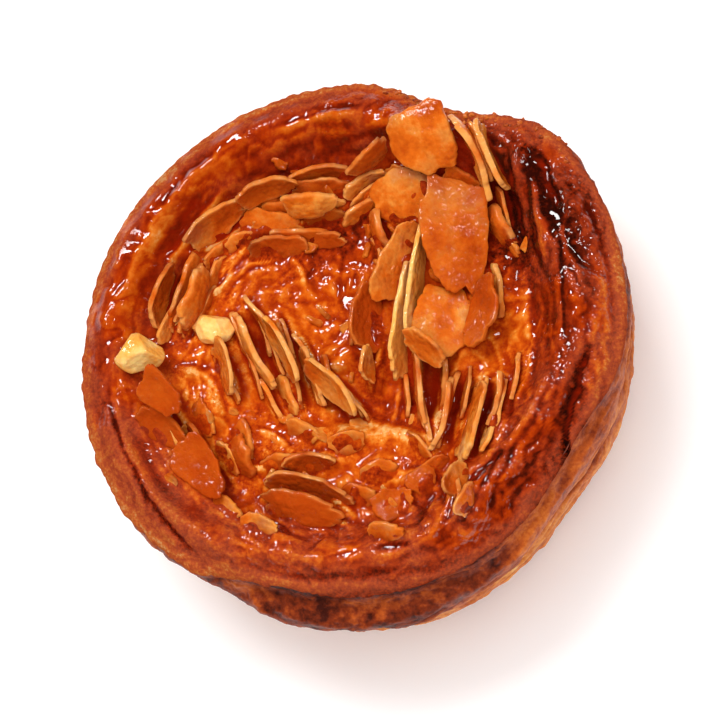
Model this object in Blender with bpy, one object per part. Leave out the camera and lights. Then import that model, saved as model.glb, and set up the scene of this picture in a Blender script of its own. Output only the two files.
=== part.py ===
"""Kouign amann: a round of laminated butter-and-sugar dough, baked in a small tin.

The dough is one solid: a flat base, a flaring wall, a thick rim with a torn outer lip, and a
sunken, uneven bed. On one side an outer layer of the wall stops short as a shelf under the lip.
Flaked almonds and two almond nibs lie and stand in the bed, each a solid of its own, with a hair
of clearance to whatever it rests on.

Metres, +Z up. The origin is the centre of the flat base. The shelf is on the -Y side.
"""

import math
import random
from typing import NamedTuple

import bmesh
import bpy
from mathutils import Matrix, Vector, noise
from mathutils.bvhtree import BVHTree

MM = 0.001

# Driving dimensions of the dough.
RADIUS = 44.5 * MM
BASE_RADIUS = 34.0 * MM
FOOT_ROUND = 4.5 * MM
LIP_HEIGHT = 35.0 * MM
RIM_HEIGHT = 38.5 * MM
BED_HEIGHT = 30.5 * MM

# The wall, from its foot (0) to its lip (1).
CREASE_LEVEL = 0.62
CREASE_DEPTH = 0.9 * MM
SHELF_LEVEL = 0.83
SHELF_BAND = 0.07
SHELF_DEPTH = 4.2 * MM
SHELF_DEGREES = 292.0
SHELF_HALF_SPAN = 64.0
SHELF_FADE = 28.0
SHELF_PINCH = 0.67
SHELF_PINCH_DEGREES = 316.0
SHELF_PINCH_SPREAD = 18.0
NOTCH_LEVEL = 0.91
NOTCH_DEPTH = 0.5 * MM
WALL_ROUNDNESS = 0.45
WALL_BULGE = 1.0 * MM
WALL_WAVE = 0.5 * MM

# The top, in shares of the lip's radius.
CREST_RATIO = 0.88
SLOPE_RATIO = 0.24
TOP_WAVE = 0.7 * MM
WAVE_LENGTH = 13.0 * MM

# Fineness of the dough's facets.
POINTS_AROUND = 72
FOOT_STEPS = 3
WALL_LEVELS = (0.0, 0.1, 0.2, 0.31, 0.42, 0.53, 0.63, 0.73, 0.80, 0.84, 0.865, 0.89, 0.92, 0.96, 1.0)
RIM_RINGS = (0.985, 0.965, 0.94, 0.90, 0.875, 0.85, 0.82, 0.785, 0.745, 0.705, 0.665)
BED_RINGS = (0.62, 0.57, 0.51, 0.44, 0.36, 0.27, 0.18, 0.09)

# Almond flakes.
FLAKE_THICKNESS = 0.95 * MM
FLAKE_STATIONS = 8
FLAKE_EGG = 0.16
FLAKE_BEND = 0.9 * MM
FLAKE_TWIST = math.radians(7.0)
STEEPEST_PITCH = math.radians(24.0)

# Settling.
CLEARANCE = 0.3 * MM
LIFT_STEP = 0.2 * MM
LIFT_LIMIT = 16.0 * MM
SEED = 11

COLOURS = {
    "caramel_crust": ((0.42, 0.11, 0.025), 0.35),
    "toasted_almond": ((0.72, 0.25, 0.05), 0.38),
    "pale_almond": ((0.80, 0.52, 0.24), 0.45),
}


class Swell(NamedTuple):
    """A bump of the outline: how far it stands out, as a share of the radius."""

    degrees: float
    spread: float
    share: float


SWELLS = (
    Swell(8.0, 20.0, 0.025),
    Swell(46.0, 18.0, 0.08),
    Swell(66.0, 8.0, -0.088),
    Swell(132.0, 36.0, 0.028),
    Swell(200.0, 25.0, 0.02),
    Swell(242.0, 15.0, -0.030),
    Swell(280.0, 28.0, 0.026),
    Swell(318.0, 22.0, -0.064),
)


class Hill(NamedTuple):
    """A rise or hollow of the top surface: an oval bell, in millimetres and degrees."""

    x: float
    y: float
    height: float
    along: float
    across: float
    heading: float


HILLS = (
    Hill(24.5, 28.5, -3.6, 8.0, 4.0, -62.0),
    Hill(31.0, 21.0, 1.2, 9.0, 2.5, -72.0),
    Hill(7.5, -8.5, -2.2, 6.5, 4.5, 20.0),
    Hill(3.5, -14.0, 2.4, 11.0, 2.6, 5.0),
    Hill(-2.5, 18.0, -1.6, 9.0, 5.0, 20.0),
    Hill(-26.5, -6.5, 1.8, 6.0, 6.0, 0.0),
    Hill(6.0, -24.0, 1.6, 9.0, 5.0, 10.0),
    Hill(-15.0, 11.0, 0.8, 9.0, 5.0, 30.0),
    Hill(15.0, 27.0, 1.2, 5.0, 4.0, 60.0),
)


class Flake(NamedTuple):
    """A flaked almond, in millimetres and degrees.

    The heading is the way the long axis points, towards the narrow end. Lean is 0 for a flake
    that lies flat and 90 for one that stands on its edge.
    """

    name: str
    at: tuple
    heading: float
    lean: float
    size: tuple
    material: str = "toasted_almond"


# In the order of settling: a flake rests on those above it in this list.
FLAKES = (
    Flake("almond_fan_1", (-21.0, -1.5), -72.0, 64.0, (10.0, 5.0)),
    Flake("almond_fan_2", (-16.3, 1.1), -62.0, 72.0, (14.0, 4.6)),
    Flake("almond_fan_3", (-13.8, 3.4), -58.0, 76.0, (15.5, 4.8)),
    Flake("almond_fan_4", (-10.7, 0.1), -63.0, 70.0, (13.0, 4.6)),
    Flake("almond_fan_5", (-7.1, -3.1), -68.0, 66.0, (11.5, 4.6)),
    Flake("almond_fan_6", (-2.5, -6.5), -49.0, 58.0, (12.0, 4.6)),
    Flake("almond_left_1", (-31.4, 11.3), 74.0, 62.0, (10.5, 4.4)),
    Flake("almond_left_2", (-28.6, 12.3), 70.0, 68.0, (13.0, 4.4)),
    Flake("almond_left_3", (-26.3, 10.4), 72.0, 70.0, (10.5, 4.2)),
    Flake("almond_right_1", (11.0, -6.5), -81.0, 70.0, (15.0, 5.0)),
    Flake("almond_right_2", (15.2, -10.6), -102.0, 72.0, (12.5, 4.6)),
    Flake("almond_right_3", (20.0, -12.3), -102.0, 50.0, (14.5, 6.2)),
    Flake("almond_right_4", (24.2, -8.7), -100.0, 74.0, (9.5, 4.2)),
    Flake("almond_ember", (3.0, 6.5), 84.0, 50.0, (12.0, 5.6)),
    Flake("almond_chip", (2.8, -2.5), 83.0, 70.0, (6.5, 3.6)),
    Flake("almond_tall_1", (8.5, 5.1), 82.0, 76.0, (20.5, 5.6), "pale_almond"),
    Flake("almond_tall_2", (10.8, 10.2), 83.0, 80.0, (21.0, 5.0), "pale_almond"),
    Flake("almond_blade", (7.4, 14.5), 70.0, 46.0, (15.0, 6.6)),
    Flake("almond_low", (4.4, 20.5), -65.0, 65.0, (7.5, 4.0)),
    Flake("almond_crown_low", (15.5, 4.1), 100.0, 14.0, (12.5, 9.5)),
    Flake("almond_crown_edge", (21.9, 5.3), 76.0, -34.0, (11.5, 5.5)),
    Flake("almond_crown_foot", (12.8, -1.0), -40.0, 42.0, (8.5, 4.4)),
    Flake("almond_crown_under", (9.1, 25.3), 60.0, 14.0, (10.5, 8.5)),
    Flake("almond_crown", (17.7, 18.2), -87.0, -12.0, (21.0, 9.5)),
    Flake("almond_wedge", (24.5, 19.8), -57.0, 48.0, (9.0, 4.4)),
    Flake("almond_sliver_1", (21.2, 30.2), -70.0, 78.0, (14.0, 4.6)),
    Flake("almond_sliver_2", (24.3, 30.2), -68.0, 80.0, (12.5, 4.4)),
    Flake("almond_rim", (13.8, 33.3), -65.0, 8.0, (11.5, 9.5)),
    Flake("almond_tip", (2.5, 28.1), 33.0, 66.0, (8.5, 4.2)),
    Flake("almond_tip_upper", (3.7, 31.4), 41.0, 54.0, (9.0, 4.2)),
    Flake("almond_arc_end", (-22.8, 22.5), 37.0, 44.0, (13.0, 5.4)),
    Flake("almond_arc_flat", (-13.6, 22.2), -4.0, 28.0, (11.5, 6.4)),
    Flake("almond_arc_low", (-12.9, 18.6), 4.0, 50.0, (10.0, 4.2)),
    Flake("almond_arc_back", (-13.7, 27.6), 14.0, 60.0, (10.0, 4.2)),
    Flake("almond_arc_front", (-7.0, 24.8), 4.0, 50.0, (9.5, 4.6)),
    Flake("almond_arc_layer", (-5.6, 27.6), 8.0, 42.0, (10.0, 4.6)),
    Flake("almond_arc_upper", (-5.5, 30.3), 8.0, 55.0, (10.0, 4.2)),
    Flake("almond_shore_1", (-30.5, -11.7), -44.0, 48.0, (10.0, 4.2)),
    Flake("almond_shore_2", (-24.7, -18.4), -52.0, 30.0, (12.5, 6.0)),
    Flake("almond_shore_3", (-26.3, -13.4), -75.0, 60.0, (6.5, 3.6)),
    Flake("almond_shore_4", (-18.7, -16.2), -60.0, 50.0, (8.0, 4.2)),
    Flake("almond_shore_5", (-30.5, -6.3), -50.0, 32.0, (9.0, 4.8)),
    Flake("almond_lens_1", (-7.1, -22.6), -16.0, 50.0, (14.5, 5.0)),
    Flake("almond_lens_2", (-7.7, -25.7), -15.0, 50.0, (15.0, 5.0)),
    Flake("almond_lens_top", (-7.0, -18.4), 12.0, 44.0, (8.5, 4.2)),
    Flake("almond_sunk_1", (7.5, -25.8), 20.0, 22.0, (6.5, 4.4)),
    Flake("almond_sunk_2", (11.9, -22.0), 60.0, 24.0, (5.5, 3.8)),
    Flake("almond_edge", (18.3, -23.0), 73.0, 60.0, (6.5, 3.8)),
)


class Nib(NamedTuple):
    """A rough lump of chopped almond, in millimetres and degrees."""

    name: str
    at: tuple
    heading: float
    size: tuple


NIBS = (
    Nib("nib_rim", (-34.2, 0.6), -8.0, (10.0, 6.0, 4.6)),
    Nib("nib_bed", (-23.2, 5.6), 35.0, (6.4, 5.6, 4.4)),
)


def clear_scene():
    """Take out whatever the file opened with."""
    for thing in list(bpy.data.objects):
        bpy.data.objects.remove(thing, do_unlink=True)


def make_materials():
    """One Principled material for each kind of surface."""
    made = {}
    for name, (colour, roughness) in COLOURS.items():
        material = bpy.data.materials.new(name)
        material.use_nodes = True
        shader = material.node_tree.nodes["Principled BSDF"]
        shader.inputs["Base Color"].default_value = (*colour, 1.0)
        shader.inputs["Roughness"].default_value = roughness
        shader.inputs["Metallic"].default_value = 0.0
        made[name] = material
    return made


def smooth_step(value):
    """0 below 0, 1 above 1, and an S curve between."""
    value = min(1.0, max(0.0, value))
    return value * value * (3.0 - 2.0 * value)


def bell(angle, centre, spread):
    """1 at the centre angle, falling to 0 round the circle; all in degrees."""
    away = (angle - centre + 180.0) % 360.0 - 180.0
    return math.exp(-0.5 * (away / spread) ** 2)


def wave(x, y, length, layer):
    """Slow, smooth noise between about -1 and 1."""
    return noise.noise(Vector((x / length, y / length, 7.3 * layer)))


def outline_radius(angle):
    """The wall's widest radius at an angle in degrees."""
    share = sum(swell.share * bell(angle, swell.degrees, swell.spread) for swell in SWELLS)
    turn = math.radians(angle)
    ripple = wave(math.cos(turn), math.sin(turn), 0.3, 1)
    return RADIUS * (1.0 + share) + 0.5 * MM * ripple


def shelf_depth(angle):
    """How far the lip stands back from the wall's outer layer."""
    away = abs((angle - SHELF_DEGREES + 180.0) % 360.0 - 180.0)
    pinch = SHELF_PINCH * bell(angle, SHELF_PINCH_DEGREES, SHELF_PINCH_SPREAD)
    return SHELF_DEPTH * (1.0 - pinch) * smooth_step((SHELF_HALF_SPAN - away) / SHELF_FADE)


def lip_radius(angle):
    """The radius of the top's outer edge."""
    return outline_radius(angle) - shelf_depth(angle)


def lip_height(angle):
    """The height of the torn outer lip."""
    turn = math.radians(angle)
    return LIP_HEIGHT + 0.9 * MM * wave(math.cos(turn), math.sin(turn), 0.35, 2)


def crest_ratio(angle):
    """Where the rim is highest: further out at the upper left, further in at the lower right."""
    return CREST_RATIO + 0.02 * bell(angle, 140.0, 50.0) - 0.05 * bell(angle, 345.0, 55.0)


def hill_height(x, y):
    """The sum of the named rises and hollows."""
    total = 0.0
    for hill in HILLS:
        turn = math.radians(hill.heading)
        dx = x / MM - hill.x
        dy = y / MM - hill.y
        along = dx * math.cos(turn) + dy * math.sin(turn)
        across = dy * math.cos(turn) - dx * math.sin(turn)
        total += hill.height * math.exp(-0.5 * ((along / hill.along) ** 2 + (across / hill.across) ** 2))
    return total * MM


def top_height(x, y):
    """The height of the top surface: rim, slope and bed."""
    angle = math.degrees(math.atan2(y, x)) % 360.0
    ratio = min(1.0, math.hypot(x, y) / lip_radius(angle))
    crest = crest_ratio(angle)
    if ratio >= crest:
        rise = smooth_step((1.0 - ratio) / (1.0 - crest))
        height = lip_height(angle) + (RIM_HEIGHT - lip_height(angle)) * rise
    else:
        rise = smooth_step((ratio - crest + SLOPE_RATIO) / SLOPE_RATIO)
        height = BED_HEIGHT + (RIM_HEIGHT - BED_HEIGHT) * rise
    inside = smooth_step((1.0 - ratio) / 0.06)
    detail = hill_height(x, y) + TOP_WAVE * wave(x, y, WAVE_LENGTH, 3)
    return height + inside * detail


def foot_point(share, angle):
    """A point of the rounded foot, from the base's edge (0) to the wall (1)."""
    turn = 0.5 * math.pi * share
    base = BASE_RADIUS * outline_radius(angle) / RADIUS
    return base + FOOT_ROUND * math.sin(turn), FOOT_ROUND * (1.0 - math.cos(turn))


def wall_point(level, angle):
    """A point of the wall, from its foot (0) to its lip (1)."""
    foot, bottom = foot_point(1.0, angle)
    outline = outline_radius(angle)
    turn = math.radians(angle)
    crease_level = CREASE_LEVEL + 0.05 * math.sin(2.0 * turn + 1.0)
    crease = CREASE_DEPTH * math.exp(-0.5 * ((level - crease_level) / 0.06) ** 2)
    shelf = shelf_depth(angle) * smooth_step((level - SHELF_LEVEL) / SHELF_BAND)
    notch = NOTCH_DEPTH * shelf_depth(angle) / SHELF_DEPTH
    notch *= math.exp(-0.5 * ((level - NOTCH_LEVEL) / 0.025) ** 2)
    bulge = WALL_BULGE * math.sin(math.pi * level)
    ripple = WALL_WAVE * wave(2.0 * math.cos(turn) + level, 2.0 * math.sin(turn), 0.45, 4)
    rise = (1.0 - WALL_ROUNDNESS) * level + WALL_ROUNDNESS * math.sin(0.5 * math.pi * level)
    radius = foot + (outline - foot) * rise + bulge - crease - shelf - notch
    height = bottom + (lip_height(angle) - bottom) * level
    return radius + ripple * math.sin(math.pi * level), height


def round_ring(point):
    """A ring of points round the axis; point gives radius and height at an angle."""
    ring = []
    for index in range(POINTS_AROUND):
        angle = 360.0 * index / POINTS_AROUND
        radius, height = point(angle)
        turn = math.radians(angle)
        ring.append(Vector((radius * math.cos(turn), radius * math.sin(turn), height)))
    return ring


def top_ring(ratio):
    """A ring of the top surface at a share of the lip's radius."""
    def point(angle):
        radius = ratio * lip_radius(angle)
        turn = math.radians(angle)
        return radius, top_height(radius * math.cos(turn), radius * math.sin(turn))
    return round_ring(point)


def dough_rings():
    """The dough's rings, from the base round the outside to the bed's middle."""
    rings = [round_ring(lambda angle: (0.5 * foot_point(0.0, angle)[0], 0.0))]
    for step in range(FOOT_STEPS):
        rings.append(round_ring(lambda angle, share=step / FOOT_STEPS: foot_point(share, angle)))
    for level in WALL_LEVELS:
        rings.append(round_ring(lambda angle, level=level: wall_point(level, angle)))
    for ratio in RIM_RINGS + BED_RINGS:
        rings.append(top_ring(ratio))
    return rings


def loft(rings, poles=None):
    """A closed mesh over rings of equal length, capped by a face or by a pole at each end."""
    mesh = bmesh.new()
    loops = [[mesh.verts.new(point) for point in ring] for ring in rings]
    for lower, upper in zip(loops, loops[1:]):
        for index in range(len(lower)):
            after = (index + 1) % len(lower)
            mesh.faces.new((lower[index], lower[after], upper[after], upper[index]))
    if poles:
        for loop, pole in zip((loops[0], loops[-1]), poles):
            middle = mesh.verts.new(pole)
            for index in range(len(loop)):
                mesh.faces.new((loop[index], loop[(index + 1) % len(loop)], middle))
    else:
        mesh.faces.new(loops[0])
        mesh.faces.new(loops[-1])
    bmesh.ops.recalc_face_normals(mesh, faces=mesh.faces)
    bmesh.ops.triangulate(mesh, faces=mesh.faces)
    return mesh


def dough_mesh():
    """The whole of the dough as one closed skin."""
    return loft(dough_rings(), (Vector((0.0, 0.0, 0.0)), Vector((0.0, 0.0, top_height(0.0, 0.0)))))


def flake_mesh(size, bend, twist, spare=0.0):
    """A flaked almond along X: a blunt-edged, slightly bent slice, grown all over by spare."""
    length = size[0] * MM + 2.0 * spare
    width = size[1] * MM + 2.0 * spare
    half_thickness = 0.5 * FLAKE_THICKNESS + spare
    rings = []
    for index in range(FLAKE_STATIONS):
        place = -math.cos(math.pi * (index + 0.35) / (FLAKE_STATIONS - 0.3))
        half_width = 0.5 * width * math.sqrt(1.0 - place * place) * (1.0 - FLAKE_EGG * place)
        swell = bend * (1.0 - place * place)
        turn = Matrix.Rotation(twist * place, 3, "X")
        ring = []
        for side, face in ((-1, -1), (-1, 1), (0, 1), (1, 1), (1, -1), (0, -1)):
            depth = half_thickness * face * (1.0 if side == 0 else 0.72)
            cup = 0.35 * bend * side * side
            ring.append(turn @ Vector((0.0, half_width * side, depth - cup)))
        along = Vector((0.5 * length * place, 0.0, swell))
        rings.append([point + along for point in ring])
    return loft(rings)


def nib_mesh(size, seed, spare=0.0):
    """A rough almond lump: a ball pulled out of round by smooth noise."""
    mesh = bmesh.new()
    bmesh.ops.create_icosphere(mesh, subdivisions=2, radius=1.0)
    for vert in mesh.verts:
        dent = 1.0 + 0.32 * noise.noise(1.4 * vert.co + Vector((seed, 0.0, 0.0)))
        vert.co = Vector([dent * vert.co[axis] * (0.5 * size[axis] * MM + spare) for axis in range(3)])
    return mesh


def slope_along(x, y, direction, reach):
    """The surface's slope angle over a reach each way along a direction."""
    ahead = top_height(x + direction.x * reach, y + direction.y * reach)
    behind = top_height(x - direction.x * reach, y - direction.y * reach)
    return math.atan2(ahead - behind, 2.0 * reach)


def resting_turn(x, y, heading, lean, size):
    """The rotation of a piece that follows the ground under it and leans across its heading."""
    turn = math.radians(heading)
    forward = Vector((math.cos(turn), math.sin(turn), 0.0))
    sideways = Vector((-math.sin(turn), math.cos(turn), 0.0))
    pitch = slope_along(x, y, forward, 0.4 * size[0] * MM)
    pitch = max(-STEEPEST_PITCH, min(STEEPEST_PITCH, pitch))
    roll = slope_along(x, y, sideways, 0.4 * size[1] * MM) * math.cos(math.radians(lean))
    return (
        Matrix.Rotation(turn, 4, "Z")
        @ Matrix.Rotation(-pitch, 4, "Y")
        @ Matrix.Rotation(math.radians(lean) + roll, 4, "X")
    )


def tree_of(mesh, placing):
    """A search tree of a mesh moved to where it is placed."""
    points = [placing @ vert.co for vert in mesh.verts]
    mesh.verts.index_update()
    corners = [[vert.index for vert in face.verts] for face in mesh.faces]
    return BVHTree.FromPolygons(points, corners)


def settle(grown, turn, x, y, trees):
    """The lowest placing at x, y where the grown piece touches nothing that is there already."""
    start = top_height(x, y)
    for step in range(int(LIFT_LIMIT / LIFT_STEP)):
        placing = Matrix.Translation((x, y, start + step * LIFT_STEP)) @ turn
        tree = tree_of(grown, placing)
        if not any(tree.overlap(other) for other in trees):
            return placing
    raise ValueError(f"no room at {x / MM:.1f}, {y / MM:.1f} mm")


def add_object(name, mesh, placing, material):
    """An object for one piece, with its own mesh and material."""
    data = bpy.data.meshes.new(name)
    mesh.to_mesh(data)
    data.materials.append(material)
    piece = bpy.data.objects.new(name, data)
    piece.matrix_world = placing
    bpy.context.scene.collection.objects.link(piece)
    data.shade_smooth()
    data.set_sharp_from_angle(angle=math.radians(50.0))
    return piece


def place_piece(name, mesh, grown, x, y, turn, trees, material):
    """Settle a piece, add it, and let later pieces rest on it."""
    placing = settle(grown, turn, x, y, trees)
    trees.append(tree_of(mesh, placing))
    add_object(name, mesh, placing, material)


def place_flake(flake, trees, materials, rng):
    """One flake, bent and twisted a little at random."""
    x = flake.at[0] * MM
    y = flake.at[1] * MM
    turn = resting_turn(x, y, flake.heading, flake.lean, flake.size)
    bend = FLAKE_BEND * rng.uniform(-1.0, 1.0)
    twist = FLAKE_TWIST * rng.uniform(-1.0, 1.0)
    mesh = flake_mesh(flake.size, bend, twist)
    grown = flake_mesh(flake.size, bend, twist, CLEARANCE)
    place_piece(flake.name, mesh, grown, x, y, turn, trees, materials[flake.material])


def place_nib(nib, seed, trees, material):
    """One lump of almond, resting on the dough."""
    x = nib.at[0] * MM
    y = nib.at[1] * MM
    turn = resting_turn(x, y, nib.heading, 0.0, nib.size)
    place_piece(
        nib.name, nib_mesh(nib.size, seed), nib_mesh(nib.size, seed, CLEARANCE), x, y, turn, trees, material
    )


def build():
    """The dough first, then everything that rests on it."""
    clear_scene()
    materials = make_materials()
    rng = random.Random(SEED)
    dough = dough_mesh()
    trees = [tree_of(dough, Matrix.Identity(4))]
    add_object("dough", dough, Matrix.Identity(4), materials["caramel_crust"])
    for seed, nib in enumerate(NIBS):
        place_nib(nib, seed, trees, materials["pale_almond"])
    for flake in FLAKES:
        place_flake(flake, trees, materials, rng)


build()
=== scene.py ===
"""Looks of a kouign amann: caramelised laminated dough with flaked almonds set in its middle.

The dough's fine surface follows the CAD dough by casting rays onto it, and adds the relief that
the real crust has. Each CAD almond is replaced by an irregular slice with the same place, size
and bend. Everything is in metres, and small lengths are given in millimetres times MM.
"""

import math
from typing import NamedTuple
import bpy
import numpy as np
from mathutils import Matrix, Vector
from mathutils.bvhtree import BVHTree


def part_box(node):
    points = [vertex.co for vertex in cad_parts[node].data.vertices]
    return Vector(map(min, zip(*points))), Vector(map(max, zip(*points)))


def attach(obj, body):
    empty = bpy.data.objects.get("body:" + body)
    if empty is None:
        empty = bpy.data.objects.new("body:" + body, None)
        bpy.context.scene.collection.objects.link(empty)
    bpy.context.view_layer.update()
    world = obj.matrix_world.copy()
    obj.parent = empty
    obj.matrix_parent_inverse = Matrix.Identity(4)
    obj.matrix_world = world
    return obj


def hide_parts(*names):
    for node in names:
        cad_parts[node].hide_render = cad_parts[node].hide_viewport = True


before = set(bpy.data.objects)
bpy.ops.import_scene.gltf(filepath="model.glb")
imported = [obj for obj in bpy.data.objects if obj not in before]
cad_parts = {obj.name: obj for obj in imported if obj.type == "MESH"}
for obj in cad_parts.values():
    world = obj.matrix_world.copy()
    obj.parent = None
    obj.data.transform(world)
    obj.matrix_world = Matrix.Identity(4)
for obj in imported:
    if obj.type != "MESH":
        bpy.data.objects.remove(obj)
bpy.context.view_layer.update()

MM = 0.001
ROOT = "root"

# The dough's box gives its size; everything else about its form is cast from its mesh.
DOUGH_LOW, DOUGH_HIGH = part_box("dough")
RADIUS = 0.25 * (DOUGH_HIGH.x - DOUGH_LOW.x + DOUGH_HIGH.y - DOUGH_LOW.y)
HEIGHT = DOUGH_HIGH.z

# Fineness of the two dough pieces.
TOP_CELLS = 300
WALL_AROUND = 600
BASE_RINGS = 14
WALL_RINGS = 120

# The bed of caramel lies this far above the CAD's bed.
BED_RAISE = 0.9 * MM

# The top's grid bends down round the lip beyond this share of the way out from its middle.
BEND_SHARE = 0.94
LIP_ROUND = 1.1 * MM
LIP_TURN = math.radians(125.0)

# The caramel laps over an almond's face that stands no more than LAP_REACH above the bed, and
# climbs the sides of almonds that are within CLIMB_REACH.
LAP_REACH = 2.4 * MM
CLIMB_REACH = 3.5 * MM
CLIMB_SPREAD = 1.4 * MM
CLIMB_LIMIT = 3.0 * MM

# Fineness of an almond slice: points round it, and rings on each face; then rings round its edge.
SLICE_FINENESS = (72, 11)
SHARD_FINENESS = (48, 6)
BIT_FINENESS = (28, 4)
SLICE_EDGE_RINGS = 5
# 1 for a round edge; smaller numbers make it squarer.
EDGE_SQUARENESS = 0.55
SHARD_THICKNESS = 0.36 * MM
BIT_THICKNESS = 0.35 * MM

# Points along a strand of dough or caramel.
STRAND_STEPS = 40

BIT_COUNT = 40
# Where the bits lie: the middle of an area and its radius, in millimetres.
BIT_AREAS = ((-8, 6, 17), (4, -17, 13), (-22, -14, 12), (15, 12, 15), (-5, 27, 12))
CRUMB_COUNT = 50
# The stretch of the lip that is torn and crumbly, in degrees.
CRUMB_STRETCH = (38.0, 82.0)

# Where the seeds of each kind of piece start, for their shapes and then for their shades.
SLICE_SEED, SLICE_SHADE_SEED = 20, 300
SHARD_SEED, SHARD_SHADE_SEED = 500, 400
BIT_SEED, BIT_SHAPE_SEED, BIT_SHADE_SEED = 900, 910, 920
CRUMB_SEED, CRUMB_SHAPE_SEED, CRUMB_SHADE_SEED = 950, 951, 952
NIB_SEED, NIB_SHADE_SEED = 700, 710


# ---------------------------------------------------------------- numbers and noise


def smooth_step(low, high, value):
    """0 below low, 1 above high, and an S curve between."""
    share = np.clip((value - low) / (high - low), 0.0, 1.0)
    return share * share * (3.0 - 2.0 * share)


def bell(value, centre, spread):
    """1 at the centre, falling off as a bell curve."""
    return np.exp(-0.5 * ((value - centre) / spread) ** 2)


def angle_bell(angle, centre, spread):
    """A bell curve round the circle; all in degrees."""
    return bell((angle - centre + 180.0) % 360.0 - 180.0, 0.0, spread)


def lattice(at, seed):
    """A fixed random number from -1 to 1 for each whole-number point."""
    mixed = at[:, 0] * 374761393 + at[:, 1] * 668265263 + at[:, 2] * 1442695041 + seed * 974634777
    mixed = (mixed ^ (mixed >> 13)) * 1274126177 & 0x7FFFFFFF
    mixed = (mixed ^ (mixed >> 16)) * 668265263 & 0x7FFFFFFF
    return ((mixed >> 7) & 0xFFFF) / 32767.5 - 1.0


def noise(points, size, seed):
    """Smooth gradient noise from about -1 to 1; each seed gives a pattern of its own."""
    scaled = points / size
    cell = np.floor(scaled).astype(np.int64)
    inside = scaled - cell
    fade = inside**3 * (inside * (inside * 6.0 - 15.0) + 10.0)
    total = np.zeros(len(points))
    for corner in np.ndindex(2, 2, 2):
        at = cell + np.array(corner)
        weight = np.ones(len(points))
        slope = np.zeros(len(points))
        for axis in range(3):
            weight *= fade[:, axis] if corner[axis] else 1.0 - fade[:, axis]
            pull = lattice(at, seed * 3 + axis)
            slope += pull * (inside[:, axis] - corner[axis])
        total += weight * slope
    return 1.5 * total


def layered_noise(points, size, seed, layers=3):
    """Noise with finer, weaker noise on top."""
    total = np.zeros(len(points))
    for layer in range(layers):
        total += noise(points, size / 2.0**layer, seed + 17 * layer) / 2.0**layer
    return total / (2.0 - 2.0 ** (1 - layers))


def lumps(points, size, seed):
    """Rounded lumps with sharp creases between them, from 0 to 1."""
    return np.minimum(1.0, np.abs(2.2 * noise(points, size, seed)))


def ridges(points, size, seed):
    """Sharp-crested noise from 0 to 1."""
    return 1.0 - lumps(points, size, seed)


def blisters(points, size, seed, share=1.0):
    """Round domes from 0 to 1, one in some of the cells of a jittered lattice."""
    scaled = points / size
    cell = np.floor(scaled).astype(np.int64)
    best = np.zeros(len(points))
    for step in np.ndindex(3, 3, 3):
        at = cell + np.array(step) - 1
        jitter = [lattice(at, seed + axis) for axis in range(4)]
        centre = at + 0.5 + 0.35 * np.stack(jitter[:3], axis=1)
        away = np.linalg.norm(scaled - centre, axis=1)
        reach = 0.28 + 0.22 * (0.5 + 0.5 * jitter[3])
        present = 0.5 + 0.5 * lattice(at, seed + 5) < share
        dome = np.sqrt(np.clip(1.0 - (away / reach) ** 2, 0.0, 1.0)) * (reach / 0.5) * present
        best = np.maximum(best, dome)
    return best


def blur(grid, times, wrap=False):
    """Even out a grid of numbers with its neighbours; wrap joins the columns' two ends."""
    for _ in range(times):
        padded = np.pad(grid, ((1, 1), (0, 0)), mode="edge")
        grid = 0.25 * padded[:-2] + 0.5 * grid + 0.25 * padded[2:]
        padded = np.pad(grid, ((0, 0), (1, 1)), mode="wrap" if wrap else "edge")
        grid = 0.25 * padded[:, :-2] + 0.5 * grid + 0.25 * padded[:, 2:]
    return grid


# ---------------------------------------------------------------- meshes


def join_meshes(meshes):
    """Several (points, faces, edge) meshes as one."""
    points, faces, edges = [], [], []
    count = 0
    for shape, shape_faces, edge in meshes:
        points.append(shape)
        faces += [[corner + count for corner in face] for face in shape_faces]
        edges.append(edge)
        count += len(shape)
    return np.vstack(points), faces, np.concatenate(edges)


def ball(subdivisions):
    """Points and faces of a ball with a radius of 1."""
    bpy.ops.mesh.primitive_ico_sphere_add(subdivisions=subdivisions, radius=1.0)
    made = bpy.context.object
    points = np.array([vert.co for vert in made.data.vertices])
    faces = np.array([list(face.vertices) for face in made.data.polygons])
    bpy.data.objects.remove(made, do_unlink=True)
    return points, faces


def grid_faces(rows, columns, wrap):
    """Quads over a grid of points, joined round the columns if wrap is set."""
    last = columns if wrap else columns - 1
    row, column = np.meshgrid(np.arange(rows - 1), np.arange(last), indexing="ij")
    after = (column + 1) % columns
    corners = (
        row * columns + column,
        row * columns + after,
        (row + 1) * columns + after,
        (row + 1) * columns + column,
    )
    return np.stack([corner.ravel() for corner in corners], axis=1)


def add_object(name, data):
    """A new object in the scene."""
    made = bpy.data.objects.new(name, data)
    bpy.context.scene.collection.objects.link(made)
    return made


def make_piece(name, points, faces, material, shades):
    """A smooth-shaded mesh object; shades holds numbers for each point, which materials read."""
    mesh = bpy.data.meshes.new(name)
    mesh.from_pydata(points.tolist(), [], [list(face) for face in faces])
    mesh.validate()
    for key, values in shades.items():
        layer = mesh.attributes.new(key, "FLOAT", "POINT")
        layer.data.foreach_set("value", np.asarray(values, np.float32).ravel())
    mesh.materials.append(material)
    mesh.shade_smooth()
    piece = add_object(name, mesh)
    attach(piece, ROOT)
    return piece


# ---------------------------------------------------------------- material helpers


def srgb(red, green, blue):
    """A colour from 0 to 255 as the renderer's linear numbers."""
    linear = []
    for value in (red, green, blue):
        share = value / 255.0
        linear.append(share / 12.92 if share <= 0.04045 else ((share + 0.055) / 1.055) ** 2.4)
    return (*linear, 1.0)


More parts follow.
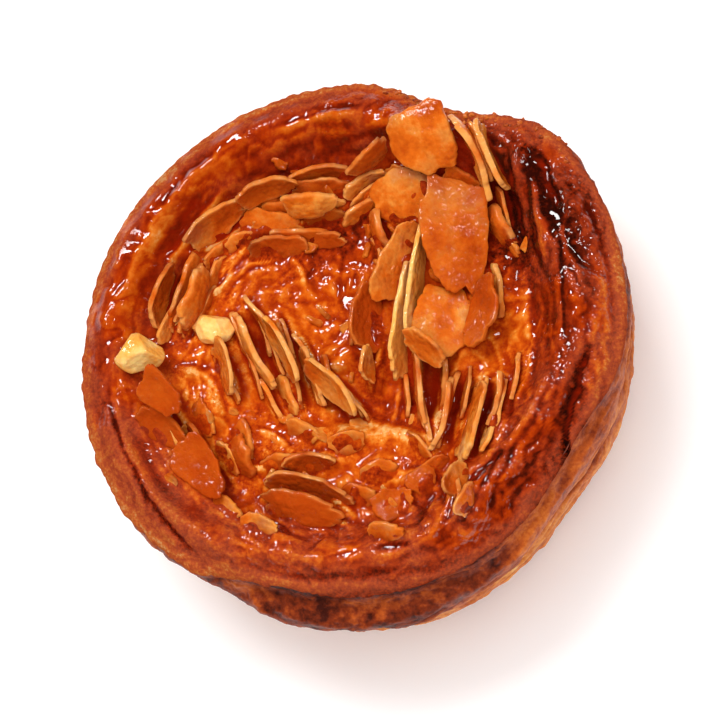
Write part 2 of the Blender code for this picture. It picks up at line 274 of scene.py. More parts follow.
class Look:
    """A material's node tree, with one short method for each kind of node it uses."""

    def __init__(self, name):
        self.material = bpy.data.materials.new(name)
        self.material.use_nodes = True
        self.tree = self.material.node_tree
        self.shader = self.tree.nodes["Principled BSDF"]
        self.place = self.node("ShaderNodeTexCoord").outputs["Object"]

    def node(self, kind, inputs=None, **settings):
        """Add a node; inputs are numbers, colours or other nodes' outputs."""
        made = self.tree.nodes.new(kind)
        for key, value in settings.items():
            setattr(made, key, value)
        for key, value in (inputs or {}).items():
            self.feed(made.inputs[key], value)
        return made

    def feed(self, socket, value):
        """Give a socket a link or a plain value."""
        if isinstance(value, bpy.types.NodeSocket):
            self.tree.links.new(value, socket)
        else:
            socket.default_value = value

    def set(self, inputs):
        """Set some of the shader's inputs."""
        for key, value in inputs.items():
            self.feed(self.shader.inputs[key], value)

    def shade(self, name):
        """A number stored at the mesh's points."""
        return self.node("ShaderNodeAttribute", attribute_name=name).outputs["Fac"]

    def math(self, operation, first, second=0.0, clamp=False):
        """One sum on one or two numbers."""
        made = self.node("ShaderNodeMath", {0: first, 1: second}, operation=operation)
        made.use_clamp = clamp
        return made.outputs[0]

    def vary(self, value, cloud, amount):
        """Add cloudy noise to a number: up to half the amount each way."""
        swing = {"Value": cloud, "From Min": 0.3, "From Max": 0.7, "To Min": -0.5 * amount}
        swing["To Max"] = 0.5 * amount
        made = self.node("ShaderNodeMapRange", swing)
        return self.math("ADD", value, made.outputs["Result"], clamp=True)

    def blotch(self, size, detail=3.0, stretch=(1.0, 1.0, 1.0), roughness=0.55):
        """Cloudy noise from 0 to 1, with features of a size in metres."""
        place = self.node("ShaderNodeMapping", {"Vector": self.place, "Scale": stretch}).outputs[0]
        made = self.node(
            "ShaderNodeTexNoise",
            {"Vector": place, "Scale": 1.0 / size, "Detail": detail, "Roughness": roughness},
        )
        return made.outputs["Fac"]

    def bubbles(self, size):
        """Distance to the nearest of scattered points, in cells."""
        made = self.node("ShaderNodeTexVoronoi", {"Vector": self.place, "Scale": 1.0 / size})
        return made.outputs["Distance"]

    def ramp(self, value, stops):
        """Colours along a number from 0 to 1."""
        made = self.node("ShaderNodeValToRGB", {"Fac": value})
        ends = made.color_ramp.elements
        while len(ends) < len(stops):
            ends.new(0.5)
        for end, (place, colour) in zip(ends, stops):
            end.position = place
            end.color = colour
        return made.outputs["Color"]

    def mix(self, share, first, second):
        """Mix two colours."""
        inputs = {0: share, 6: first, 7: second}
        return self.node("ShaderNodeMix", inputs, data_type="RGBA").outputs[2]

    def beads(self, size, height):
        """Relief of small round beads; the height is a number in metres or a node's output."""
        return self.bump(self.math("MULTIPLY", self.bubbles(size), -1.0), height)

    def bump(self, height, distance, under=None):
        """Tiny relief from a number, over other relief."""
        inputs = {"Height": height, "Distance": distance, "Strength": 1.0}
        if under:
            inputs["Normal"] = under
        return self.node("ShaderNodeBump", inputs).outputs["Normal"]


DRY_CRUST = srgb(150, 72, 48)
# Deep red of pooled caramel, also used as painted shade where almonds hide the sky.
DEEP_CARAMEL_AND_SHADE = srgb(140, 26, 3)
# Glaze colour of almond faces, also painted as shade where other pieces hide the sky.
ALMOND_GLAZE_AND_SHADE = srgb(174, 62, 10)
SUNK_ALMOND = srgb(158, 56, 9)
CARAMEL_STOPS = (
    (0.00, srgb(26, 7, 4)),
    (0.16, srgb(74, 16, 4)),
    (0.34, srgb(130, 32, 5)),
    (0.52, srgb(172, 54, 6)),
    (0.70, srgb(206, 88, 12)),
    (0.86, srgb(228, 128, 38)),
    (1.00, srgb(238, 180, 108)),
)


def caramel_look():
    """The glazed top: burnt to amber caramel over laminated dough, deep red where it pools and, as painted
    shade, where almonds hide the sky.
    """
    look = Look("caramel_glaze")
    dull = look.math("SUBTRACT", 1.0, look.shade("wet"), clamp=True)
    tone = look.vary(look.shade("tone"), look.blotch(5.0 * MM, 3.0), 0.14)
    tone = look.vary(tone, look.blotch(0.9 * MM, 3.0), 0.16)
    crystals = look.math("SUBTRACT", look.blotch(0.5 * MM, 3.0), 0.5)
    tone = look.math("ADD", tone, look.math("MULTIPLY", crystals, dull), clamp=True)
    colour = look.ramp(tone, CARAMEL_STOPS)
    colour = look.mix(look.shade("crust"), colour, DRY_CRUST)
    colour = look.mix(look.shade("deep_red_and_shade"), colour, DEEP_CARAMEL_AND_SHADE)
    beaded = look.beads(0.8 * MM, look.math("MULTIPLY", look.shade("beads"), 0.22 * MM))
    roughness = look.math("MULTIPLY", dull, 0.26 * MM)
    grain = look.bump(look.blotch(0.6 * MM, 3.0), look.math("ADD", roughness, 0.03 * MM), beaded)
    look.set({"Base Color": colour, "Roughness": 0.8, "Specular IOR Level": 0.0, "Normal": grain})
    look.set({"Coat Weight": look.shade("wet"), "Coat Roughness": 0.05, "Coat Normal": beaded})
    return look.material


CRUST_STOPS = (
    (0.00, srgb(64, 20, 10)),
    (0.22, srgb(128, 46, 16)),
    (0.45, srgb(180, 80, 26)),
    (0.68, srgb(214, 116, 42)),
    (0.86, srgb(232, 150, 66)),
    (1.00, srgb(244, 196, 124)),
)


def crust_look():
    """The wall and base: baked, sugared dough, golden below and browner towards the lip; its tone also
    holds painted shade in hollows and creases and painted shadow under the lip.
    """
    look = Look("baked_crust")
    tone = look.vary(look.shade("tone"), look.blotch(8.0 * MM, 4.0), 0.34)
    tone = look.vary(tone, look.blotch(2.4 * MM, 3.0, (1.0, 1.0, 1.3)), 0.22)
    tone = look.vary(tone, look.blotch(0.7 * MM, 3.0), 0.20)
    colour = look.ramp(tone, CRUST_STOPS)
    grain = look.bump(look.blotch(0.7 * MM, 3.0), 0.24 * MM)
    look.set({"Base Color": colour, "Roughness": 0.6, "Specular IOR Level": 0.1, "Normal": grain})
    look.set({"Coat Weight": look.shade("wet"), "Coat Roughness": 0.2, "Coat Normal": grain})
    return look.material


def almond_look(name, face_stops, edge_colour):
    """Toasted almond: a glazed face, a paler cut edge, and caramel where it is sunk; the glaze colour is
    also painted as shade where other pieces hide the sky.
    """
    look = Look(name)
    tone = look.vary(look.shade("tone"), look.blotch(4.0 * MM, 2.0), 0.20)
    tone = look.vary(tone, look.blotch(0.7 * MM, 3.0), 0.14)
    face = look.ramp(tone, face_stops)
    edge = look.mix(look.shade("edge"), face, edge_colour)
    glazed = look.mix(look.shade("glaze"), edge, ALMOND_GLAZE_AND_SHADE)
    colour = look.mix(look.shade("sunk"), glazed, SUNK_ALMOND)
    beaded = look.beads(1.0 * MM, look.math("MULTIPLY", look.shade("wet"), 0.20 * MM))
    relief = look.bump(look.blotch(0.7 * MM, 3.0), 0.12 * MM, beaded)
    look.set({"Base Color": colour, "Roughness": 0.8, "Specular IOR Level": 0.0, "Normal": relief})
    look.set({"Coat Weight": look.shade("wet"), "Coat Roughness": 0.1, "Coat Normal": relief})
    look.set({"Subsurface Weight": 0.15, "Subsurface Scale": 1.2 * MM})
    look.set({"Subsurface Radius": (1.0, 0.45, 0.15)})
    return look.material


# ---------------------------------------------------------------- the CAD dough as a guide


# Just under the lip, above the shelf on one side of the wall; a share of the dough's height.
LIP_LEVEL = 0.84
ABOVE = 2.0 * HEIGHT
OUTSIDE = 2.0 * RADIUS


def node_tree(name):
    """A search tree of a CAD node."""
    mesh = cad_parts[name].data
    points = [vert.co.copy() for vert in mesh.vertices]
    return BVHTree.FromPolygons(points, [list(face.vertices) for face in mesh.polygons])


DOUGH = node_tree("dough")


def drop(tree, x, y):
    """Where a surface is when it is met from straight above at x, y, and which way it faces."""
    return tree.ray_cast(Vector((x, y, ABOVE)), Vector((0.0, 0.0, -1.0)))[:2]


def cast_down(x, y):
    """The CAD dough's height at x, y."""
    hit = drop(DOUGH, x, y)[0]
    return hit.z if hit else np.nan


def cast_in(turn, z):
    """The CAD dough's outer radius at a turn in radians and a height."""
    outward = Vector((math.cos(turn), math.sin(turn), 0.0))
    hit = DOUGH.ray_cast(outward * OUTSIDE + Vector((0.0, 0.0, z)), -outward)[0]
    return math.hypot(hit.x, hit.y)


def measured_outline():
    """The lip's radius and height for each step round the wall."""
    turns = 2.0 * math.pi * np.arange(WALL_AROUND) / WALL_AROUND
    radius = np.array([cast_in(turn, LIP_LEVEL * HEIGHT) for turn in turns])
    reach = 0.975 * radius
    lip_z = [cast_down(x, y) for x, y in zip(reach * np.cos(turns), reach * np.sin(turns))]
    radius = blur(radius[None, :], 30, wrap=True)[0]
    lip_z = blur(np.array([lip_z]), 30, wrap=True)[0]
    return turns, radius, lip_z


TURNS, LIP_RADIUS, LIP_Z = measured_outline()


def around(values, turn):
    """Read one of the outline's tables at any turn."""
    turns = np.append(TURNS, 2.0 * math.pi)
    return np.interp(turn % (2.0 * math.pi), turns, np.append(values, values[0]))


# ---------------------------------------------------------------- almond slices


class Slice:
    """The place and shape of a CAD almond, measured from its mesh."""

    def __init__(self, name):
        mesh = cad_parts[name].data
        points = np.array([vert.co for vert in mesh.vertices])
        self.centre = points.mean(axis=0)
        offset = points - self.centre
        self.axes = np.linalg.svd(offset, full_matrices=False)[2]
        # The third axis points up, and the first one points to the narrower end.
        if self.axes[2][2] < 0.0:
            self.axes[2] *= -1.0
        local = offset @ self.axes.T
        narrow_end = np.abs(local[local[:, 0] > 0.0][:, 1]).mean()
        wide_end = np.abs(local[local[:, 0] < 0.0][:, 1]).mean()
        if narrow_end > wide_end:
            self.axes[0] *= -1.0
        self.axes[1] = np.cross(self.axes[2], self.axes[0])
        local = offset @ self.axes.T
        self.half_length = 0.5 * np.ptp(local[:, 0])
        self.half_width = 0.5 * np.ptp(local[:, 1])
        self.bend = np.linalg.lstsq(self.terms(local), local[:, 2], rcond=None)[0]
        self.half_thickness = np.abs(local[:, 2] - self.terms(local) @ self.bend).max()

    def terms(self, local):
        """The parts of the bent middle surface."""
        a, b = local[:, 0] / MM, local[:, 1] / MM
        return np.stack([np.ones_like(a), a, b, a * a, a * b, b * b], axis=1)

    def world(self, local):
        """Points from the slice's own axes to the frame's."""
        return local @ self.axes + self.centre


def slice_outline(half_length, half_width, around, seed):
    """The edge of a slice: an almond's oval, pointed at one end, with a broken end and nicks."""
    random = np.random.default_rng(seed)
    turn = 2.0 * math.pi * np.arange(around) / around
    squareness = random.uniform(0.78, 1.0)
    a = np.sign(np.cos(turn)) * np.abs(np.cos(turn)) ** squareness
    b = np.sign(np.sin(turn)) * np.abs(np.sin(turn)) ** squareness
    b *= 1.0 - random.uniform(0.10, 0.30) * a
    b += random.uniform(-0.16, 0.16) * (1.0 - a * a)
    broken = random.uniform(0.68, 1.3)
    slant = random.uniform(-0.3, 0.3)
    limit = broken + slant * b
    a = np.where(a < -limit, -limit + 0.12 * (a + limit), a)
    circle = np.stack([np.cos(turn), np.sin(turn), np.full_like(turn, 3.1 * seed)], axis=1)
    ragged = 1.0 + 0.15 * noise(circle, 0.8, seed) + 0.10 * noise(circle, 0.33, seed + 1)
    ragged += 0.05 * noise(circle, 0.14, seed + 2)
    for _ in range(3):
        nick = random.uniform(0.0, 360.0)
        ragged -= random.uniform(0.04, 0.14) * angle_bell(np.degrees(turn), nick, random.uniform(5.0, 12.0))
    return half_length * a * ragged, half_width * b * ragged


def slice_grid(half_length, half_width, half_thickness, fineness, seed):
    """A slice's points in its own axes, ring by ring, and how close each ring is to the edge."""
    around, face_rings = fineness
    a, b = slice_outline(half_length, half_width, around, seed)
    size = np.maximum(np.hypot(a, b), 2.0 * half_thickness)
    inner = (size - half_thickness) / size
    shares = (np.arange(1, face_rings + 1) / face_rings) ** 0.85
    reach = [share * inner for share in shares]
    lift = [half_thickness] * face_rings
    for step in range(1, SLICE_EDGE_RINGS + 1):
        lean = math.pi * (0.5 - step / (SLICE_EDGE_RINGS + 1))
        outward = math.cos(lean) ** EDGE_SQUARENESS
        upward = math.copysign(abs(math.sin(lean)) ** EDGE_SQUARENESS, lean)
        reach.append((size - half_thickness + half_thickness * outward) / size)
        lift.append(half_thickness * upward)
    reach += [share * inner for share in shares[::-1]]
    lift += [-half_thickness] * face_rings
    rings = [np.stack([part * a, part * b, np.full_like(a, z)], axis=1) for part, z in zip(reach, lift)]
    near_edge = 0.3 * smooth_step(0.88, 1.0, shares)
    edge = np.concatenate([near_edge, np.ones(SLICE_EDGE_RINGS), near_edge[::-1]])
    return np.array(rings), np.repeat(edge, around)


def slice_mesh(half_length, half_width, half_thickness, fineness, seed):
    """Points, faces and edge numbers of a closed slice, in its own axes."""
    around = fineness[0]
    rings, edge = slice_grid(half_length, half_width, half_thickness, fineness, seed)
    points = rings.reshape(-1, 3)
    place = points + np.array([0.0, 0.0, 50.0 * MM]) * seed
    uneven = 0.14 * noise(place, 3.2 * MM, seed + 3) + 0.06 * noise(place, 1.0 * MM, seed + 4)
    streaks = 0.05 * noise(place * (0.2, 1.0, 1.0), 0.6 * MM, seed + 5)
    glaze = 0.16 * blisters(place, 1.7 * MM, seed + 6, 0.3)
    side = np.sign(points[:, 2])
    points[:, 2] += side * (uneven + streaks + glaze) * MM * (1.0 - 0.6 * edge)
    curl = noise(place * (1.0, 1.0, 0.0), 6.0 * MM, seed + 7)
    points[:, 2] += 1.0 * MM * curl * smooth_step(0.2, 1.0, np.hypot(*points[:, :2].T) / half_length)
    count = len(points)
    top = points[:around].mean(axis=0)
    bottom = points[-around:].mean(axis=0)
    faces = [list(face) for face in grid_faces(len(rings), around, wrap=True)]
    for index in range(around):
        after = (index + 1) % around
        faces.append([count, after, index])
        faces.append([count + 1, count - around + index, count - around + after])
    return np.vstack([points, top, bottom]), faces, np.append(edge, [0.0, 0.0])


def bent_slice(name, seed):
    """The fine slice that stands for one CAD almond, in the frame's axes."""
    guide = Slice(name)
    half_length, half_width = 1.04 * guide.half_length, 1.18 * guide.half_width
    half_thickness = 0.75 * guide.half_thickness
    points, faces, edge = slice_mesh(half_length, half_width, half_thickness, SLICE_FINENESS, seed)
    points[:, 2] += guide.terms(points) @ guide.bend
    return guide.world(points), faces, edge


ALMONDS = sorted(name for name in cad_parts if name.startswith("almond"))
SLICES = {name: bent_slice(name, SLICE_SEED + index) for index, name in enumerate(ALMONDS)}


class Finish(NamedTuple):
    """How toasted a slice is (0 dark, 1 pale), and how glazed its face and pale its edge are."""

    tone: float
    glaze: float
    edge: float


class Shard:
    """A broken piece of almond or of candied dough that stands in the caramel between the slices.

    Its place and size are in millimetres; its heading and its lean from flat are in degrees.
    """

    def __init__(self, x, y, heading, lean, length, width, *finish):
        self.x, self.y = x * MM, y * MM
        self.heading, self.lean = math.radians(heading), math.radians(lean)
        self.length, self.width = length * MM, width * MM
        self.finish = Finish(*finish)

    def mesh(self, seed):
        """Points, faces and edge numbers in the frame, with the lower side in the caramel."""
        half_thickness = SHARD_THICKNESS * (0.8 + 0.1 * (seed % 5))
        points, faces, edge = slice_mesh(
            0.5 * self.length, 0.5 * self.width, half_thickness, SHARD_FINENESS, seed
        )
        turned = Matrix.Rotation(self.heading, 3, "Z") @ Matrix.Rotation(self.lean, 3, "X")
        points = points @ np.array(turned).T
        reach = 0.4 * self.length
        right, up = reach * math.cos(self.heading), reach * math.sin(self.heading)
        rise = cast_down(self.x + right, self.y + up) - cast_down(self.x - right, self.y - up)
        points[:, 2] += 0.5 * rise * (points[:, :2] @ (right, up)) / reach**2
        lift = 0.30 * self.width * math.sin(self.lean) + 0.3 * MM
        middle = [self.x, self.y, cast_down(self.x, self.y) + BED_RAISE + lift]
        return points + np.array(middle), faces, edge


# Each row: x, y, heading, lean, length, width, then the finish (tone, glaze, edge). They go from
# the fan in the middle to the arcs behind it, then the right, the crown and the bottom.
SHARD_ROWS = (
    (-20.9, -3.6, -69, 65, 8.1, 3.2, 0.6, 0.2, 0.9), (-15.2, 4.8, -66, 74, 9.5, 3.4, 0.62, 0.1, 1),
    (-9.6, -4.9, -71, 70, 8.6, 3.4, 0.55, 0.3, 0.9), (-4.3, -4.1, -74, 62, 8.4, 3.4, 0.45, 0.4, 0.7),
    (-11.2, -6.4, -68, 56, 7.6, 3.4, 0.62, 0.2, 0.6), (-0.5, -7.4, -56, 70, 7.3, 3.2, 0.66, 0.1, 1),
    (-16.6, 25.7, 14, 55, 9.3, 3.8, 0.5, 0.3, 0.5), (-5.5, 23.5, 5, 62, 8.1, 3.4, 0.54, 0.2, 1),
    (0.9, 23.8, 32, 66, 8.7, 3.4, 0.46, 0.3, 0.8), (-13.1, 24.9, 5, 46, 8.1, 3.8, 0.55, 0.2, 0.5),
    (-23.1, 18.4, 43, 60, 6.5, 3.4, 0.5, 0.3, 0.7), (-31, 7, 66, 70, 7.9, 3.4, 0.5, 0.2, 0.8),
    (-23.5, 14.9, 70, 60, 6.7, 3.4, 0.5, 0.3, 0.6), (-28.3, 7.2, 68, 66, 5.7, 3, 0.5, 0.2, 0.6),
    (14.9, -5.9, -93, 72, 9.5, 3.6, 0.52, 0.4, 0.8), (18.6, -7.6, -101, 68, 9.1, 3.8, 0.5, 0.4, 0.7),
    (23.1, -14.8, -98, 60, 8, 3.8, 0.72, 0, 0.8), (8.4, -6.8, -82, 70, 8.2, 3.2, 0.5, 0.3, 0.8),
    (27.2, -5.6, -95, 70, 8.5, 3.4, 0.52, 0.3, 0.6), (24.1, 9, -85, 58, 9.6, 3.2, 0.66, 0.1, 0.9),
    (4.2, 15.6, -73, 60, 8.5, 3.4, 0.55, 0.2, 0.7), (0.5, 5.7, -100, 66, 8, 3.2, 0.4, 0.5, 0.5),
    (22.1, 31.4, -73, 76, 9.9, 3.4, 0.6, 0, 1), (26, 17.5, -69, 55, 7, 3, 0.5, 0.3, 0.5),
    (-18.4, -13.6, -73, 34, 7.9, 4, 0.58, 0.3, 0.4), (-24.9, -9.4, -62, 30, 7.4, 4, 0.56, 0.3, 0.4),
    (-30.4, -11.6, -57, 64, 7.5, 3.2, 0.66, 0.1, 1), (-21, -16.3, -62, 40, 6.2, 3.6, 0.58, 0.2, 0.6),
    (-12.2, -17.8, 13, 35, 7.2, 3.8, 0.52, 0.4, 0.4), (-0.7, -15.4, 17, 24, 6.7, 4.2, 0.56, 0.4, 0.2),
    (4.7, -20.3, 12, 28, 6.6, 4.2, 0.54, 0.4, 0.3), (-14.3, -28.5, -18, 30, 6.8, 3.6, 0.6, 0.3, 0.4),
    (13.6, -19.5, 32, 34, 5.1, 3.6, 0.38, 0.5, 0.4), (17.7, -23, -68, 64, 7.6, 3.2, 0.64, 0.1, 1),
    (7.1, -30.9, -18, 40, 6.8, 3.6, 0.46, 0.4, 0.4), (11.2, -16.2, -52, 50, 6.3, 3.4, 0.56, 0.3, 0.7),
    (1.3, -23.7, -14, 36, 6.6, 3.8, 0.5, 0.4, 0.4), (8.7, 28.8, -29, 40, 6.7, 3.6, 0.5, 0.3, 0.4),
    (18.1, 27.6, -14, 35, 6.6, 3.6, 0.4, 0.4, 0.4), (-8.7, -12.3, -25, 45, 6.5, 3.4, 0.56, 0.3, 0.6),
    (25.2, 22.6, -76, 70, 7.3, 3, 0.35, 0.4, 0.6), (-20.6, -24.9, -39, 35, 6.1, 3.6, 0.54, 0.3, 0.3),
    (20, -27, 63, 50, 6.4, 3.4, 0.5, 0.4, 0.6), (-4.9, 19.9, 1, 50, 7, 3.4, 0.28, 0.6, 0.5),
    (-19, 3.7, -71, 72, 9.6, 3.6, 0.52, 0.2, 1), (-13.4, 1.7, -67, 76, 10, 3.4, 0.56, 0.1, 1),
    (-11, 3.2, -69, 76, 7.5, 3, 0.46, 0.3, 0.8), (-8.1, 0.5, -67, 74, 7.5, 3.2, 0.5, 0.2, 0.9),
    (-13.9, -6.9, -65, 74, 8.1, 3.2, 0.5, 0.2, 0.9), (-6.8, -4.6, -67, 66, 6.8, 3.4, 0.62, 0, 1),
    (-1.6, -7.2, -46, 72, 11.9, 3.4, 0.66, 0, 1), (-16.5, -2.7, -70, 70, 8.5, 3, 0.44, 0.3, 0.8),
    (10.7, -2, -90, 74, 9.4, 3.4, 0.5, 0.2, 1), (12, -11.4, -74, 74, 8.9, 3.4, 0.5, 0.2, 1),
    (15.6, -10.5, -102, 74, 12.3, 3.6, 0.5, 0.3, 1), (20.7, -12.3, -102, 70, 14.3, 4.4, 0.66, 0, 1),
    (24.7, -9.8, -103, 70, 9.1, 3.4, 0.54, 0.2, 0.9), (-27.9, 11.2, 69, 72, 12.7, 3.4, 0.56, 0.1, 1),
    (-25.2, 8.4, 67, 70, 9.7, 3, 0.5, 0.2, 0.9), (-8.7, 20.5, -1, 62, 10.9, 3.4, 0.34, 0.5, 0.6),
    (-6.2, 24.8, 10, 60, 10, 3.6, 0.62, 0.1, 1), (3.4, 27.3, 31, 62, 8.6, 3.6, 0.54, 0.2, 1),
    (-14.7, 22.5, 14, 50, 8.1, 3.6, 0.5, 0.3, 0.7), (-18.6, 20.1, 19, 48, 6.9, 3.6, 0.52, 0.3, 0.6),
)
SHARDS = [Shard(*row) for row in SHARD_ROWS]
SHARD_MESHES = [shard.mesh(SHARD_SEED + index) for index, shard in enumerate(SHARDS)]


def tree_of_slices():
    """One search tree of all the slices and shards."""
    points, faces, _ = join_meshes([*SLICES.values(), *SHARD_MESHES])
    return BVHTree.FromPolygons(points.tolist(), faces)


# ---------------------------------------------------------------- the glazed top


def disc_grid():
    """A square grid pressed into a disc: each point's share of the way out, and its turn."""
    steps = np.linspace(-1.0, 1.0, TOP_CELLS + 1)
    a, b = np.meshgrid(steps, steps, indexing="ij")
    wide = np.abs(a) >= np.abs(b)
    main = np.where(wide, a, b)
    other = np.where(wide, b, a)
    lean = 0.25 * math.pi * np.divide(other, main, out=np.zeros_like(a), where=np.abs(main) > 1e-9)
    x = np.where(wide, main * np.cos(lean), main * np.sin(lean))
    y = np.where(wide, main * np.sin(lean), main * np.cos(lean))
    return np.abs(main), np.arctan2(y, x)


def bow_line(start, end, bow):
    """Points along a gentle arc from start to end that bows to the left of the way it goes."""
    start, end = np.array(start), np.array(end)
    way = end - start
    left = np.array([-way[1], way[0]]) / np.linalg.norm(way)
    share = np.linspace(0.0, 1.0, STRAND_STEPS)[:, None]
    return start + share * way + 4.0 * share * (1.0 - share) * bow * left


class Strand:
    """The edge of a dough layer or a string of caramel, or a crevice where the height is negative.

    It runs in an arc from start to end; lengths are in millimetres. Its left side is the steep
    one. Tone is how much lighter or darker its crest is than what is round it; a raised strand is
    also darker in the groove at its foot. Light crests and dark crevices and feet are partly the
    caramel's colour and partly painted highlight and shade.
    """

    def __init__(self, start_x, start_y, end_x, end_y, bow, height, width, tone):
        self.line = bow_line((start_x, start_y), (end_x, end_y), bow)
        self.height, self.width, self.tone = height, width, tone

    def add_to(self, x, y, relief, tone):
        """Add this strand to grids of relief in millimetres and of tone."""
        margin = 4.0 * self.width
        low, high = self.line.min(axis=0) - margin, self.line.max(axis=0) + margin
        near = (x > low[0]) & (x < high[0]) & (y > low[1]) & (y < high[1])
        place = np.stack([x[near], y[near]], axis=1)
        offset = place[:, None, :] - self.line[None, :, :]
        gap = np.hypot(offset[:, :, 0], offset[:, :, 1])
        nearest = gap.argmin(axis=1)
        rows = np.arange(len(place))
        way = np.gradient(self.line, axis=0)[nearest]
        way /= np.linalg.norm(way, axis=1)[:, None]
        side = way[:, 0] * offset[rows, nearest, 1] - way[:, 1] * offset[rows, nearest, 0]
        share = nearest / (STRAND_STEPS - 1.0)
        past_end = (nearest == 0) | (nearest == STRAND_STEPS - 1)
        beyond = past_end * np.sqrt(np.maximum(0.0, gap[rows, nearest] ** 2 - side**2))
        ends = smooth_step(0.0, 0.2, share) * smooth_step(1.0, 0.8, share)
        ends = (0.25 + 0.75 * ends) * bell(beyond, 0.0, 0.7 * self.width)
        steep = bell(side, 0.0, np.where(side > 0.0, 0.4, 1.1) * self.width)
        foot = bell(side, 1.1 * self.width, 0.4 * self.width)
        crest = ends * (steep - (0.5 * foot if self.height > 0.0 else 0.0))
        relief[near] += self.height * crest
        # Lighter crests and darker crevices and feet: partly the caramel's colour, partly painted highlight
        # and shade.
        tone[near] += self.tone * ends * steep - (0.10 * ends * foot if self.height > 0.0 else 0.0)
